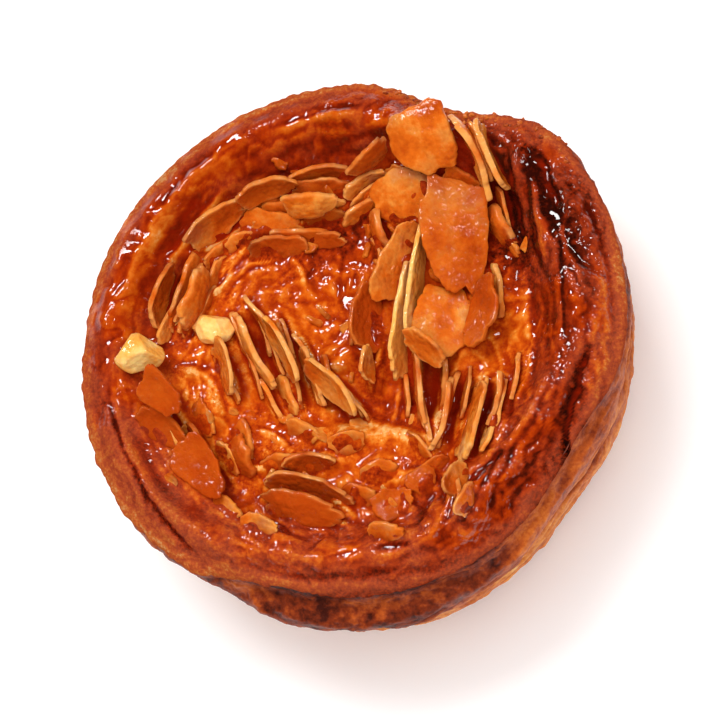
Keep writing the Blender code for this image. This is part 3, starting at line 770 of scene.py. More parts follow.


# Their tones are partly the caramel's colour and partly painted highlight on crests and painted shade in
# crevices.
# Each row: x and y of the start and of the end, bow, height, width, tone. Round the rim first.
STRAND_ROWS = (
    (-32.5, 9, -20, 29, 2.5, 0.8, 0.8, 0.16), (-38, 9.5, -18.5, 36, 3.4, 0.5, 0.9, 0),
    (-36.5, 6, -23.5, 30, 2, -0.8, 1.2, -0.14), (-32.5, 6.5, -18, 29.5, 3, -0.8, 1, -0.12),
    (-18.5, 28.5, -7.5, 32, 0.7, -0.9, 0.8, -0.18), (-17, 30, -11, 31, 0.2, 0.6, 0.7, 0.05),
    (-14.5, 25.5, -1, 29, 0.8, 0.8, 0.8, 0.02), (-3.5, 35.5, 12, 35.5, 0.4, -0.5, 0.7, -0.12),
    (-12, 37, 2.5, 39.5, 0.6, 0.5, 0.7, 0.06), (31.5, 31, 35.5, 18.5, 0.2, -1.6, 1.3, -0.5),
    (34.5, 18, 35, -1.5, 0.4, 0.5, 0.6, 0.02), (37.5, 24, 42.5, -1, 1.5, 0.5, 0.8, 0.05),
    (40.5, -2.5, 35, -21, -1, -1, 0.6, -0.2), (42.5, -3.5, 39.5, -15, -0.5, 0.5, 0.9, 0.08),
    (-38.5, -7, -24.5, -29, -3, 0.7, 1.6, -0.02), (-40, -5, -23.5, -34, -2.6, -1.1, 0.6, -0.25),
    (-18, -35.5, 17, -37, -2.5, 0.6, 1.3, 0), (0.5, -37.5, 13, -35, -1.5, 0.7, 1.3, 0),
    (4.5, -33, 11.5, -32.5, -0.4, -0.8, 0.7, -0.2), (33.5, -5.5, 27.5, -17.5, 0.4, 0.6, 0.8, 0),
    (21.5, -19.5, 14.5, -32.5, -1, 0.8, 0.9, 0.1), (25, -17, 19, -31, -0.6, 0.7, 0.9, 0),
    (28, -15.5, 22.5, -29.5, -0.6, 0.5, 0.9, -0.06), (13.5, -23, 11.5, -30, 0.3, -1, 0.9, -0.22),
    (24, 32.5, 26.5, 18.5, 0.2, -1.3, 1.1, -0.45), (29.5, 16.5, 27.5, 31, 0.2, 0.8, 0.7, 0.14),
    (33, 11.5, 31, 27, 0.6, 0.9, 0.7, 0.24), (28.5, 11.5, 29, -7.5, 0.3, 0.5, 1.2, 0.1),
    (-26.5, 10, -14.5, 20, 2.5, 0.7, 0.8, 0.06), (-24, 9, -13.5, 18, 2.2, 0.6, 0.7, 0.06),
    (-22, 9.5, -12.5, 16, 1.6, 0.5, 0.6, 0.06), (-20, 14, -14, 17, 0.8, 0.5, 0.5, 0.1),
    (-11.5, 17.5, -8.5, 12, 1, 0.5, 0.5, 0.1), (-8, 18, -7, 10, -1, 0.3, 0.9, 0.06),
    (-2.5, 19, -3.5, 9.5, -0.6, 0.3, 0.8, 0.06), (-29.5, -0.5, -22, -9.5, 2.5, 0.8, 0.8, 0.08),
    (-26.5, -1, -20, -8.5, 2, 0.7, 0.7, 0.02), (-33, -9.5, -29, -14, 0, 0.8, 0.5, 0.22),
    (-31.5, -5, -27, -12.5, 0.3, 0.9, 1.2, 0.1), (-30, -15.5, -19.5, -25.5, -0.6, 0.7, 1.5, 0.08),
    (-26.5, -10.5, -25.5, -15, 0.3, 0.7, 0.6, 0.1), (-18, -26.5, -9.5, -30, 1, -1.1, 0.6, -0.25),
    (-16.5, -11.5, -10.5, -15.5, 0.8, 0.5, 0.5, 0.12), (-9, -18.5, 0, -17, 0.8, 0.7, 1.2, 0.05),
    (-5, -12.5, 12.5, -15.5, 1.6, 0.9, 1.6, 0.08), (5, -25.5, 11.5, -27.5, 0.8, 0.8, 0.7, 0),
    (3.5, -21.5, 12, -21, 0.6, 0.5, 1, 0.05), (0.5, -7.5, 11.5, -9, 0.2, -0.6, 1.2, -0.1),
    (-20.5, 8.1, -14.6, -4.2, 0.4, 1.5, 0.55, 0.22), (-18.3, 10.7, -10.3, -2.8, 0.5, 1.7, 0.5, 0.3),
    (-22.8, 3.3, -19, -6.3, 0.3, 1.2, 0.6, 0.02), (-19, 3.2, -15.9, -4.8, 0.2, -1.2, 0.5, -0.3),
    (-16.6, 4.5, -11.8, -5.1, 0.3, -1.2, 0.5, -0.35), (-15.3, -3.3, -12.6, -10.3, 0.2, 1.3, 0.55, 0.2),
    (-13.3, 7.5, -9.7, -1, 0.3, 1.3, 0.5, 0.08), (-12.2, 7.5, -10.2, 2.6, 0, -1.2, 0.4, -0.35),
    (-10.7, -1.6, -8.1, -9.4, 0.2, 1.3, 0.5, 0.12), (-9.3, 4, -6.2, -2, 0.3, 1.2, 0.5, 0.14),
    (-8.7, 1, -6.6, -3.8, 0, -1.2, 0.4, -0.35), (-8, -1.5, -5.3, -7.9, -0.4, 1.4, 0.5, 0.28),
    (-6, -2.1, 2.7, -11.1, 0.6, 1.4, 0.7, 0.32), (-4.7, -5.2, -1.2, -10.6, 0, -1, 0.5, -0.3),
    (5, 2, 2.5, -5.7, 0, 1.3, 0.5, 0.1), (3.5, 1.2, 2.1, -4.8, 0, -1.3, 0.5, -0.38),
    (7.1, -5.6, 6.2, -11.7, 0, 1, 0.6, 0.05), (10.5, 2.3, 10.7, -6.9, 0.3, 1.4, 0.6, 0.16),
    (10.7, -6.9, 13, -15.5, 0.3, 1.4, 0.6, 0.16), (13.2, -3, 12.4, -12.2, 0.3, -1.4, 0.7, -0.38),
    (16.7, -3.8, 14, -16.6, -0.6, 1.6, 0.6, 0.2), (18.3, -5.5, 16.2, -16.2, -0.5, -1.4, 0.6, -0.35),
    (21.9, -5, 18.8, -19.5, -0.8, 1.7, 0.8, 0.3), (23.1, -6.9, 20.7, -18.6, -0.6, -1.2, 0.5, -0.3),
    (25.3, -5.1, 23.7, -14.8, -0.4, 1.3, 0.6, 0.14), (27.9, -3.9, 26.7, -13.6, -0.4, -0.9, 0.6, -0.22),
    (-30.5, 5, -26, 17.7, -0.6, 1.4, 0.6, 0.24), (-28.4, 3.9, -23.9, 15.5, -0.6, -1.2, 0.5, -0.3),
    (-27.5, 3.7, -23.2, 13.4, -0.5, 1.3, 0.5, 0.16), (-32.1, 3.2, -28.2, 16.4, -0.6, -1, 0.6, -0.28),
    (-25.2, 10.7, -20.8, 16.6, -0.5, 1.2, 0.5, 0.12), (-28.1, 18.6, -18.3, 23.5, -0.8, 1.2, 0.6, 0.2),
    (-24.9, 22, -16.6, 26, -0.6, -1.2, 0.6, -0.3), (-20.6, 24.7, -10.3, 27.9, -0.5, 1.2, 0.6, 0.14),
    (-12.7, 22.7, -1.6, 25.3, -0.5, 1.3, 0.6, 0.26), (-10.4, 25, -0.1, 27.6, -0.5, -1.2, 0.5, -0.35),
    (-0.1, 25, 6.9, 29.5, 0.2, 1.4, 0.6, 0.3), (0.8, 23.4, 7, 27.3, 0.2, -1.2, 0.6, -0.35),
    (-15.1, 19.8, -2.7, 18.6, 0.8, -1, 0.6, -0.3), (-18.2, -18.6, -6.8, -18.1, 0.8, 1.1, 0.6, 0.12),
    (-14.6, -21.3, 0.7, -27.2, 2.2, 1.3, 0.5, 0.24), (-15.1, -23.5, 0.6, -29, 0.5, 1.3, 0.5, 0.2),
    (-12.6, -24, -1.3, -29.1, 0.2, -1.3, 0.6, -0.3), (-16.6, -26.6, -6.3, -32, -0.4, 1, 0.6, 0.1),
    (-34.4, -2.6, -28.2, -11.2, 0, -1.3, 0.5, -0.35), (-27.3, -11.1, -20.1, -21.4, 0, -1.5, 0.5, -0.35),
    (3.5, 23, 5.7, 13.6, 0.4, 1.2, 0.6, 0.14), (5, 22.6, 6.9, 14.8, 0, -1.2, 0.5, -0.3),
    (19.5, -22.6, 26.8, -18.5, 0.4, -1, 0.6, -0.25), (14, -20.5, 16.3, -27.5, 0.3, -1.1, 0.7, -0.28),
)


def sheets(across, warp, size):
    """Overlapping sheets of dough: a slow rise and a quick drop, from 0 to 1."""
    phase = across / size + warp
    rise = phase - np.floor(phase)
    return rise * (1.0 - smooth_step(0.80, 1.0, rise))


# Sides of the pastry: the angle from +X of the middle of each, and its spread, in degrees.
LIT_SIDE = (130.0, 50.0)
PALE_SIDE = (215.0, 30.0)
LUMPY_SIDE = (128.0, 42.0)
ROUGH_SIDE = (228.0, 42.0)
BLISTERED_SIDES = ((10.0, 40.0), (100.0, 25.0))
TORN_SIDE = (72.0, 28.0)
CRUMBLY_SIDE = (230.0, 45.0)
BEADED_SIDE = (0.0, 45.0)
SMOOTH_SIDE = (145.0, 40.0)

# Noise that runs round the rim is read on a circle of this radius; a smaller one draws it out more.
RING_RADIUS = 9.0
# The middle of the spiral that the dough's layers make in the bed.
SWIRL_MIDDLE = (-9.0 * MM, 9.0 * MM)


class Top:
    """The glazed top: a height over each point of a disc grid, bent down round the lip."""

    def __init__(self):
        share, turn = disc_grid()
        self.shape = share.shape
        self.turn = turn
        self.lip_radius = around(LIP_RADIUS, turn)
        flat_share = np.minimum(1.0, share / BEND_SHARE)
        self.bend = LIP_TURN * np.clip((share - BEND_SHARE) / (1.0 - BEND_SHARE), 0.0, 1.0)
        self.radius = flat_share * (self.lip_radius - LIP_ROUND) + LIP_ROUND * np.sin(self.bend)
        self.ratio = self.radius / self.lip_radius
        self.ratio[self.bend > 0.5 * math.pi] = 1.0
        self.angle = np.degrees(turn) % 360.0
        self.x = self.radius * np.cos(turn)
        self.y = self.radius * np.sin(turn)
        self.flat = self.column(self.x, self.y, np.zeros(self.shape))

    def column(self, *grids):
        """Grids as one list of points."""
        return np.stack([grid.ravel() for grid in grids], axis=1)

    def field(self, values):
        """A list of numbers, one for each point, as a grid."""
        return values.reshape(self.shape)

    def drawn(self, pattern, size, seed, *more):
        """One of the kinds of noise over the grid; its size is in millimetres."""
        return self.field(pattern(self.flat, size * MM, seed, *more))

    def facing(self, centre, spread):
        """1 towards one side of the pastry, falling off round it; in degrees."""
        return angle_bell(self.angle, centre, spread)

    def guide_height(self):
        """The CAD's height, bent down at the lip."""
        inside = np.minimum(1.0, 0.98 / np.maximum(self.ratio, 0.1))
        cast = np.vectorize(cast_down)(self.x * inside, self.y * inside)
        return blur(cast, 14) - LIP_ROUND * (1.0 - np.cos(self.bend))

    def rim_relief(self):
        """Thin layers that run round the rim, with lumps and blisters on them, in millimetres."""
        circle = RING_RADIUS * np.cos(self.turn), RING_RADIUS * np.sin(self.turn)
        across = self.column(*circle, self.radius / (2.2 * MM))
        warp = self.field(noise(across, 2.2, 53)) + 0.35 * self.drawn(noise, 3.0, 54)
        layers = sheets(self.radius, 1.6 * warp, 3.8 * MM)
        fine = self.column(*circle, self.radius / (0.65 * MM) + 2.0 * warp)
        self.streaks = self.field(noise(fine, 2.0, 58))
        strength = np.clip(0.6 + 0.8 * self.drawn(noise, 9.0, 55), 0.1, 1.4)
        total = 0.75 * strength * (layers - 0.4) + 0.35 * self.streaks
        total += 0.45 * self.drawn(noise, 4.5, 56)
        total += 0.30 * (self.drawn(lumps, 3.4, 57) - 0.4)
        total += 0.45 * self.drawn(blisters, 2.4, 71, 0.40)
        total += 0.22 * self.drawn(blisters, 1.4, 73, 0.5)
        total += 0.35 * self.facing(*LUMPY_SIDE) * self.drawn(noise, 2.3, 77)
        total += 0.45 * self.facing(*ROUGH_SIDE) * self.drawn(layered_noise, 1.7, 78)
        right, back = (self.facing(*side) for side in BLISTERED_SIDES)
        return total + 0.35 * np.clip(right + 0.6 * back, 0.0, 1.0) * self.drawn(blisters, 1.4, 76, 0.7)

    def bed_relief(self):
        """Candied, lumpy bed with a spiral of dough layers showing at the left, in millimetres."""
        right, up = self.x - SWIRL_MIDDLE[0], self.y - SWIRL_MIDDLE[1]
        from_swirl = np.hypot(right, up)
        warp = np.arctan2(up, right) / (2.0 * math.pi) + 1.3 * self.drawn(noise, 7.0, 61)
        broken = np.clip(0.4 + self.drawn(noise, 5.0, 60), 0.0, 1.0)
        broken *= smooth_step(20.0 * MM, 10.0 * MM, from_swirl)
        total = 0.7 * broken * sheets(from_swirl, warp, 3.4 * MM)
        shore = smooth_step(16.0 * MM, 24.0 * MM, self.radius)
        total += 0.7 * shore * sheets(-self.radius, 1.4 * self.drawn(noise, 7.0, 62), 3.2 * MM)
        total += 0.75 * self.drawn(layered_noise, 6.5, 65)
        total += 0.50 * (self.drawn(lumps, 3.2, 66) - 0.4)
        total += 0.30 * self.drawn(blisters, 2.0, 74, 0.35)
        return total + 0.16 * self.drawn(blisters, 1.2, 75, 0.4)

    def build(self, slices):
        """Add the relief to the guide, fill its hollows, then let caramel climb the almonds."""
        self.rim = smooth_step(0.60, 0.80, self.ratio)
        self.lip = smooth_step(0.955, 0.995, self.ratio)
        relief = self.rim_relief() * self.rim * (1.0 - 0.6 * self.lip)
        relief += (self.bed_relief() + BED_RAISE / MM) * (1.0 - self.rim)
        self.marks = np.zeros(self.shape)
        wander = 0.5 * self.drawn(noise, 4.0, 59)
        x, y = self.x / MM + wander, self.y / MM - wander
        for row in STRAND_ROWS:
            Strand(*row).add_to(x, y, relief, self.marks)
        height = self.guide_height() + relief * MM
        self.bed = self.pool(height)
        self.height = self.caramel(self.bed, slices)
        self.crumble()

    def pool(self, height):
        """Fill hollows with caramel, which leaves smooth valleys and bumpy crests."""
        level = blur(height, 30) - 0.15 * MM
        self.depth = np.clip(level - height, 0.0, None) * (1.0 - self.lip)
        return height + 0.6 * self.depth

    def crumble(self):
        """Break up the lip: push its round edge in and out."""
        points = self.column(self.x, self.y, self.height)
        crumbs = 0.55 * layered_noise(points, 6.0 * MM, 105) + 0.45 * (lumps(points, 2.2 * MM, 103) - 0.35)
        crumbs += 0.12 * noise(points, 1.0 * MM, 104)
        rough = 0.30 + 0.7 * self.facing(*TORN_SIDE) + 0.6 * self.facing(*CRUMBLY_SIDE)
        push = rough * self.field(crumbs) * MM * self.lip
        outward = np.sin(self.bend)
        self.x += push * outward * np.cos(self.turn)
        self.y += push * outward * np.sin(self.turn)
        self.height += push * (1.0 - outward)

    def caramel(self, height, slices):
        """Raise the surface to the almonds: it climbs their sides and laps over those that lie low."""
        raised = height.copy()
        self.over = np.zeros(self.shape)
        lap = (0.9 * self.drawn(noise, 2.8, 63) - 0.06) * MM
        for row, column in np.argwhere(self.ratio < 0.93):
            x, y, z = self.x[row, column], self.y[row, column], height[row, column]
            face = drop(slices, x, y)[0]
            if face is not None and -0.5 * MM < face.z - z < LAP_REACH:
                raised[row, column] = max(z, face.z + lap[row, column])
                self.over[row, column] = 1.0
            else:
                raised[row, column] += climb(slices, x, y, z)
        return blur(raised, 3)

    def points(self):
        """The grid's points in the frame."""
        return self.column(self.x, self.y, self.height)


def climb(slices, x, y, z):
    """How far caramel climbs at a place near an almond's side."""
    found = slices.find_nearest(Vector((x, y, z)), CLIMB_REACH)[0]
    if found is None:
        return 0.0
    apart = math.hypot(found.x - x, found.y - y)
    lift = min(max(found.z - z + 0.15 * MM, 0.0), CLIMB_LIMIT)
    return lift * math.exp(-((apart / CLIMB_SPREAD) ** 2))


# Oval areas of the top. Each row: x, y, length, width, heading, how much lighter, how much wetter.
PATCHES = (
    (25.5, 26, 7.5, 2.2, -68, -0.52, 0), (32, 26.5, 7.5, 2, -64, -0.44, -0.3),
    (22.5, 20.5, 7.5, 3.5, -65, -0.44, -0.2), (36.5, 3, 18, 4.5, 85, -0.21, 0.1),
    (33, 20, 9, 6, -55, -0.12, -0.3), (26.5, -24, 13, 4, 47, -0.17, 0.35),
    (2, -36.5, 16, 3.5, 0, 0.01, -0.2), (4, -4, 4, 3, -60, -0.12, 0), (-3, -7, 5, 3, -40, 0.2, 0),
    (-14, 0, 5, 5, 0, 0.12, 0), (27, -2, 10, 2.4, 85, 0.04, 0.2), (44, 6, 20, 2, 85, 0.26, -0.4),
    (24, 36.5, 6, 2.2, -30, 0.1, -0.5), (-25, -31, 13, 3.5, -45, 0, -0.5),
    (-38, -14, 10, 2.5, -70, 0, -0.5), (-31, 22, 16, 3.5, 55, 0.06, 0.4), (-3, 34, 12, 3.5, 5, -0.14, 0.2),
    # The patch at -2, 21.5 darkens the bed under the strips behind it as painted shadow.
    (-4, -31, 13, 4, 0, -0.09, 0.2), (-2, 21.5, 9, 4.5, 10, -0.34, 0), (-7, 7, 10, 8, 0, -0.05, 0.2),
    # The patch at 0, -39.8 darkens the crease below the front of the rim as painted shadow.
    (-5, -13, 9, 5, 0, -0.06, 0), (2, 40, 12, 2, 0, -0.04, 0), (0, -39.8, 14, 1.5, 0, -0.14, 0),
    (39, -2, 12, 3, 90, -0.04, 0), (-41, 0, 8, 2, 90, -0.14, 0), (1.5, 5, 3, 5, 0, -0.12, 0),
)


def patch_shades(top):
    """How much lighter and how much wetter the patches make each point of the top."""
    lighter, wetter = np.zeros(top.shape), np.zeros(top.shape)
    for x, y, length, width, heading, light, wet in PATCHES:
        right, up, turn = top.x / MM - x, top.y / MM - y, math.radians(heading)
        along = right * math.cos(turn) + up * math.sin(turn)
        across = up * math.cos(turn) - right * math.sin(turn)
        share = np.exp(-0.5 * ((along / length) ** 2 + (across / width) ** 2))
        lighter += light * share
        wetter += wet * share
    return lighter, wetter


def top_tone(top, lit, lighter):
    """How light the top is: darker in hollows and lighter on crests, partly from the caramel's depth and
    partly as painted shade; darker on the rim; paler on the lip's upturned edge, a painted highlight on the
    lit side.
    """
    # Hollows are darker and crests lighter: partly the caramel's depth, partly painted shade.
    cavity = np.clip((top.bed - blur(top.bed, 60)) / (0.8 * MM), -1.0, 1.0)
    fine_cavity = np.clip((top.bed - blur(top.bed, 6)) / (0.12 * MM), -1.0, 1.0)
    tone = 0.66 + 0.12 * cavity + 0.09 * fine_cavity + top.marks + lighter
    tone += top.rim * (0.11 * top.streaks - 0.13)
    tone = np.where(top.over > 0.5, 0.45 + 0.4 * (tone - 0.6), tone)
    # The lip's edge is paler on the lit side as a painted highlight, and on the pale side as paler crust.
    pale = np.maximum(lit, 0.8 * top.facing(*PALE_SIDE)) * smooth_step(0.93, 0.97, top.ratio)
    # The outer rim is darker, most on the lit side, as painted shade that tones down the key light there.
    return tone + 0.42 * pale - (0.02 + 0.14 * lit) * smooth_step(0.84, 0.92, top.ratio)


def top_wet(top, lit, edge, wetter):
    """How glossy the top is: the lip's edge is dry."""
    wet = 0.62 + 0.7 * top.drawn(noise, 4.5, 81) + wetter
    wet += top.rim * np.where(top.angle > 195.0, -0.05, 0.22)
    return wet - np.maximum(edge, 0.9 * lit * smooth_step(0.89, 0.94, top.ratio))


def top_beads(top, tone, edge):
    """How beaded with sugar the top is: most on the right of the rim, not where its tone is darkest."""
    beads = 0.55 + 1.3 * top.drawn(noise, 6.0, 83) - edge
    beads += 0.6 * (top.facing(*BEADED_SIDE) - top.facing(*SMOOTH_SIDE)) * top.rim
    return beads * smooth_step(0.10, 0.40, tone) * (0.55 + 0.45 * top.rim)


def top_shades(top, shelter):
    """The numbers from 0 to 1 that the glazed top's material reads."""
    lit = top.facing(*LIT_SIDE)
    edge = smooth_step(0.94, 0.985, top.ratio)
    lighter, wetter = patch_shades(top)
    tone = top_tone(top, lit, lighter)
    wet = top_wet(top, lit, edge, wetter)
    # Deep red where caramel pools in hollows and round the lit side's rim, and painted shade where the
    # almonds hide the sky.
    deep_red_and_shade = 0.70 * smooth_step(0.04 * MM, 0.80 * MM, top.depth)
    deep_red_and_shade += 0.75 * smooth_step(0.30, 0.90, shelter) + 0.30 * lit * top.rim
    dry = np.clip(1.0 - wet, 0.0, 1.0) * smooth_step(0.10, 0.50, tone)
    shades = {
        "tone": tone,
        "wet": wet,
        "deep_red_and_shade": np.minimum(deep_red_and_shade * (1.0 - 0.7 * edge), 0.9),
        "beads": top_beads(top, tone, edge),
        "crust": 0.6 * dry * (0.1 + 0.9 * top.rim),
    }
    return {key: np.clip(shade, 0.0, 1.0) for key, shade in shades.items()}


def sky_directions(count):
    """Directions spread over the upper half, more of them near the top."""
    index = np.arange(count)
    rise = np.sqrt(1.0 - (index + 0.5) / count)
    turn = index * math.pi * (3.0 - math.sqrt(5.0))
    flat = np.sqrt(1.0 - rise * rise)
    return [Vector(way) for way in zip(flat * np.cos(turn), flat * np.sin(turn), rise)]


SKY = sky_directions(14)
SKY_REACH = 9.0 * MM


def shelter_of(tree, points):
    """How much of the sky within a short reach is hidden from each point, from 0 to 1."""
    hidden = []
    for point in points:
        start = Vector(point)
        start.z += 0.15 * MM
        hidden.append(sum(tree.ray_cast(start, way, SKY_REACH)[0] is not None for way in SKY))
    return np.array(hidden) / len(SKY)


def make_top(slices):
    """The glazed top piece."""
    top = Top()
    top.build(slices)
    shelter = top.field(shelter_of(slices, top.points()))
    faces = grid_faces(*top.shape, wrap=False)
    shades = top_shades(top, blur(shelter, 2))
    piece = make_piece("caramel_top", top.points(), faces, caramel_look(), shades)
    return top, piece


# ---------------------------------------------------------------- the wall and base


def along_profile(radius, height):
    """Spread a profile's points evenly along its own length."""
    length = np.concatenate([[0.0], np.cumsum(np.hypot(np.diff(radius), np.diff(height)))])
    even = np.linspace(0.0, length[-1], WALL_RINGS)
    return np.interp(even, length, radius), np.interp(even, length, height)


def wall_profile():
    """Radius and height for each ring from the base's middle up to under the lip."""
    base_edge = np.array([cast_in(turn, 0.15 * MM) for turn in TURNS]) - 0.8 * MM
    base_edge = blur(base_edge[None, :], 20, wrap=True)[0]
    radii = [base_edge * index / BASE_RINGS for index in range(1, BASE_RINGS + 1)]
    heights = [np.zeros(WALL_AROUND)] * BASE_RINGS
    steps = np.linspace(0.0, 1.0, 2 * WALL_RINGS)
    columns = []
    for turn, lip_z in zip(TURNS, LIP_Z):
        z = 0.2 * MM + (lip_z - 0.5 * MM) * steps
        r = np.array([cast_in(turn, level) for level in z])
        r = blur(r[:, None], 6)[:, 0] - 0.55 * MM * smooth_step(lip_z - 2.5 * MM, lip_z - 1.0 * MM, z)
        columns.append(along_profile(r, z))
    wall = np.array(columns)
    wall_r = blur(wall[:, 0].T, 4, wrap=True)
    wall_z = blur(wall[:, 1].T, 4, wrap=True)
    return np.vstack([radii, wall_r]), np.vstack([heights, wall_z])


def profile_normals(radii, heights):
    """The outward direction of the profile at each point, as radial and upward parts."""
    along_r = np.gradient(radii, axis=0)
    along_z = np.gradient(heights, axis=0)
    length = np.maximum(np.hypot(along_r, along_z), 1e-9)
    return along_z / length, -along_r / length


# Angles and spreads in degrees, as for the top: where the wall is golden and where it is pitted.
GOLDEN_SIDE = (322.0, 25.0)
PITTED_SIDE = (275.0, 28.0)


def crease_at(points, level, height, slack, thickness, broken):
    """A wandering crease between layers at a share of the wall's height, broken here and there."""
    wander = noise(points * (1.0, 1.0, 0.0), 14.0 * MM, 95)
    return bell(level, height + slack * wander, thickness) * broken


def wall_relief(points, level):
    """How far the wall's crust stands out: soft folds, creases between layers, dimples, blisters."""
    warp = noise(points * (0.5, 0.5, 0.8), 6.0 * MM, 91)
    layers = sheets(points[:, 2], 1.1 * warp, 5.2 * MM)
    swell = layered_noise(points * (0.7, 0.7, 1.0), 11.0 * MM, 93)
    upper_gaps = smooth_step(-0.5, 0.3, noise(points, 16.0 * MM, 96))
    lower_gaps = smooth_step(-0.1, 0.5, noise(points, 13.0 * MM, 97))
    upper = crease_at(points, level, 0.60, 0.06, 0.022, upper_gaps)
    lower = crease_at(points, level, 0.33, 0.07, 0.018, lower_gaps)
    relief = 0.9 * swell + 0.5 * (layers - 0.4) - 0.9 * upper - 0.6 * lower
    relief += 0.25 * ridges(points * (0.3, 0.3, 1.0), 1.6 * MM, 92) - 0.15
    relief += 0.22 * layered_noise(points, 1.8 * MM, 99) + 0.25 * blisters(points, 3.0 * MM, 101, 0.35)
    relief += 0.4 * smooth_step(0.75, 0.85, level) * layered_noise(points, 2.2 * MM, 100)
    return relief * MM, upper + lower


def wall_tone(points, level, below_lip, angle, upward, cavity, creases):
    """How light the wall is: golden low down, darker at the very foot and browner towards the lip, with
    painted shade in its hollows and creases and painted shadow on the shelf and band under the lip.
    """
    tone = 0.66 - 0.34 * smooth_step(0.50, 0.85, level) + 0.10 * smooth_step(0.40, 0.05, level)
    # Upward faces just under the lip: the shelf, which is darkened as painted shadow of the lip.
    shelf = smooth_step(0.3, 0.8, upward) * (level > 0.7)
    # Hollows and creases are darker as painted shade, and the shelf under the lip as painted shadow.
    tone += 0.16 * cavity - 0.2 * creases - 0.45 * shelf * smooth_step(3.6 * MM, 2.4 * MM, below_lip)
    tone -= 0.25 * smooth_step(0.10, 0.0, level)
    tone += 0.12 * angle_bell(angle, *GOLDEN_SIDE) * smooth_step(0.55, 0.75, level)
    pits = smooth_step(0.0, 0.45, noise(points, 3.0 * MM, 108))
    front = angle_bell(angle, *PITTED_SIDE) * smooth_step(0.68, 0.78, level)
    # The band just under the lip is darkened as painted shadow of the lip.
    return tone - front * (0.12 + 0.18 * pits) - 0.20 * smooth_step(2.5 * MM, 1.2 * MM, below_lip)


def make_wall():
    """The crust's wall and base as one piece, whose top edge is tucked under the lip."""
    radii, heights = wall_profile()
    shape = radii.shape
    turn = np.broadcast_to(TURNS, shape)
    points = np.stack([radii * np.cos(turn), radii * np.sin(turn), heights], axis=2).reshape(-1, 3)
    level = (heights / LIP_Z).ravel()
    below_lip = (LIP_Z - heights).ravel()
    relief, creases = wall_relief(points, level)
    relief *= smooth_step(1.0 * MM, 3.0 * MM, below_lip) * smooth_step(0.0, 2.0 * MM, points[:, 2])
    outward, upward = profile_normals(radii, heights)
    push = np.stack([outward * np.cos(turn), outward * np.sin(turn), upward], axis=2).reshape(-1, 3)
    points = points + push * relief[:, None]
    smooth = blur(relief.reshape(shape), 25, wrap=True).ravel()
    cavity = np.clip((relief - smooth) / (0.4 * MM), -1.0, 1.0)
    angle = np.degrees(turn).ravel()
    tone = wall_tone(points, level, below_lip, angle, upward.ravel(), cavity, creases)
    wet = np.clip(0.25 + 0.35 * layered_noise(points, 8.0 * MM, 107), 0.0, 1.0)
    middle = len(points)
    faces = grid_faces(*shape, wrap=True).tolist()
    faces += [[middle, (index + 1) % WALL_AROUND, index] for index in range(WALL_AROUND)]
    shades = {"tone": np.append(tone, 0.35), "wet": np.append(wet, 0.3)}
    return make_piece("crust_wall", np.vstack([points, np.zeros(3)]), faces, crust_look(), shades)


# ---------------------------------------------------------------- placing the almonds


TOASTED_EDGE = srgb(238, 164, 86)
TOASTED_STOPS = (
    (0.00, srgb(112, 34, 6)),
    (0.26, srgb(184, 72, 10)),
    (0.50, srgb(224, 110, 24)),
    (0.74, srgb(242, 160, 66)),
    (1.00, srgb(250, 210, 136)),
)
PALE_EDGE = srgb(250, 190, 104)
PALE_STOPS = (
    (0.00, srgb(176, 84, 22)),
    (0.35, srgb(230, 132, 42)),
    (0.70, srgb(250, 170, 72)),
    (1.00, srgb(254, 212, 130)),
)


# Tone, glaze and edge by the start of an almond's name; the first that fits counts.
FINISHES = {
    "fan": (0.58, 0.25, 1.6), "left": (0.42, 0.35, 0.9), "right_3": (0.58, 0.1, 0.9),
    "right": (0.4, 0.4, 0.9), "ember": (0.3, 0.8, 0.2), "chip": (0.55, 0.2, 0.9),
    "tall": (0.74, 0.05, 0.7), "blade": (0.54, 0.3, 0.5), "low": (0.42, 0.45, 0.6),
    "crown_low": (0.62, 0.22, 0.2), "crown_edge": (0.36, 0.5, 0.3), "crown_foot": (0.52, 0.3, 0.6),
    "crown_under": (0.58, 0.2, 0.1), "crown": (0.46, 0.4, 0.3), "wedge": (0.4, 0.35, 0.6),
    "sliver": (0.55, 0, 1), "rim": (0.5, 0.25, 0.2), "tip_upper": (0.36, 0.55, 0.5),
    "tip": (0.6, 0.15, 1), "arc_end": (0.52, 0.25, 0.8), "arc_flat": (0.48, 0.35, 0.1),
    # arc_low is dark and heavily glazed to paint the shade under arc_flat.
    "arc_low": (0.28, 0.55, 0.4), "arc_front": (0.56, 0.1, 0.9), "arc": (0.36, 0.45, 0.6),
    "shore_3": (0.46, 0.6, 0.5), "shore": (0.38, 0.75, 0.2), "lens": (0.26, 0.75, 0.9),
    "sunk": (0.42, 0.5, 0.1), "edge": (0.5, 0.3, 0.7),
}


def finish_of(name):
    """The finish whose key starts the almond's name."""
    own = name.removeprefix("almond_")
    return next(Finish(*numbers) for key, numbers in FINISHES.items() if own.startswith(key))


def surface_tree(top, height):
    """A search tree of the top with the given heights."""
    points = top.column(top.x, top.y, height)
    return BVHTree.FromPolygons(points.tolist(), grid_faces(*top.shape, wrap=False).tolist())


def heights_over(tree, points):
    """How far points are above a surface; negative below it."""
    under = [drop(tree, x, y)[0] for x, y, _ in points]
    return np.array([point[2] - place.z if place else 0.0 for point, place in zip(points, under)])


def leaning(points):
    """How far a slice stands up from lying flat, from 0 to 1."""
    return math.sqrt(1.0 - np.linalg.svd(points - points.mean(axis=0), full_matrices=False)[2][2][2] ** 2)


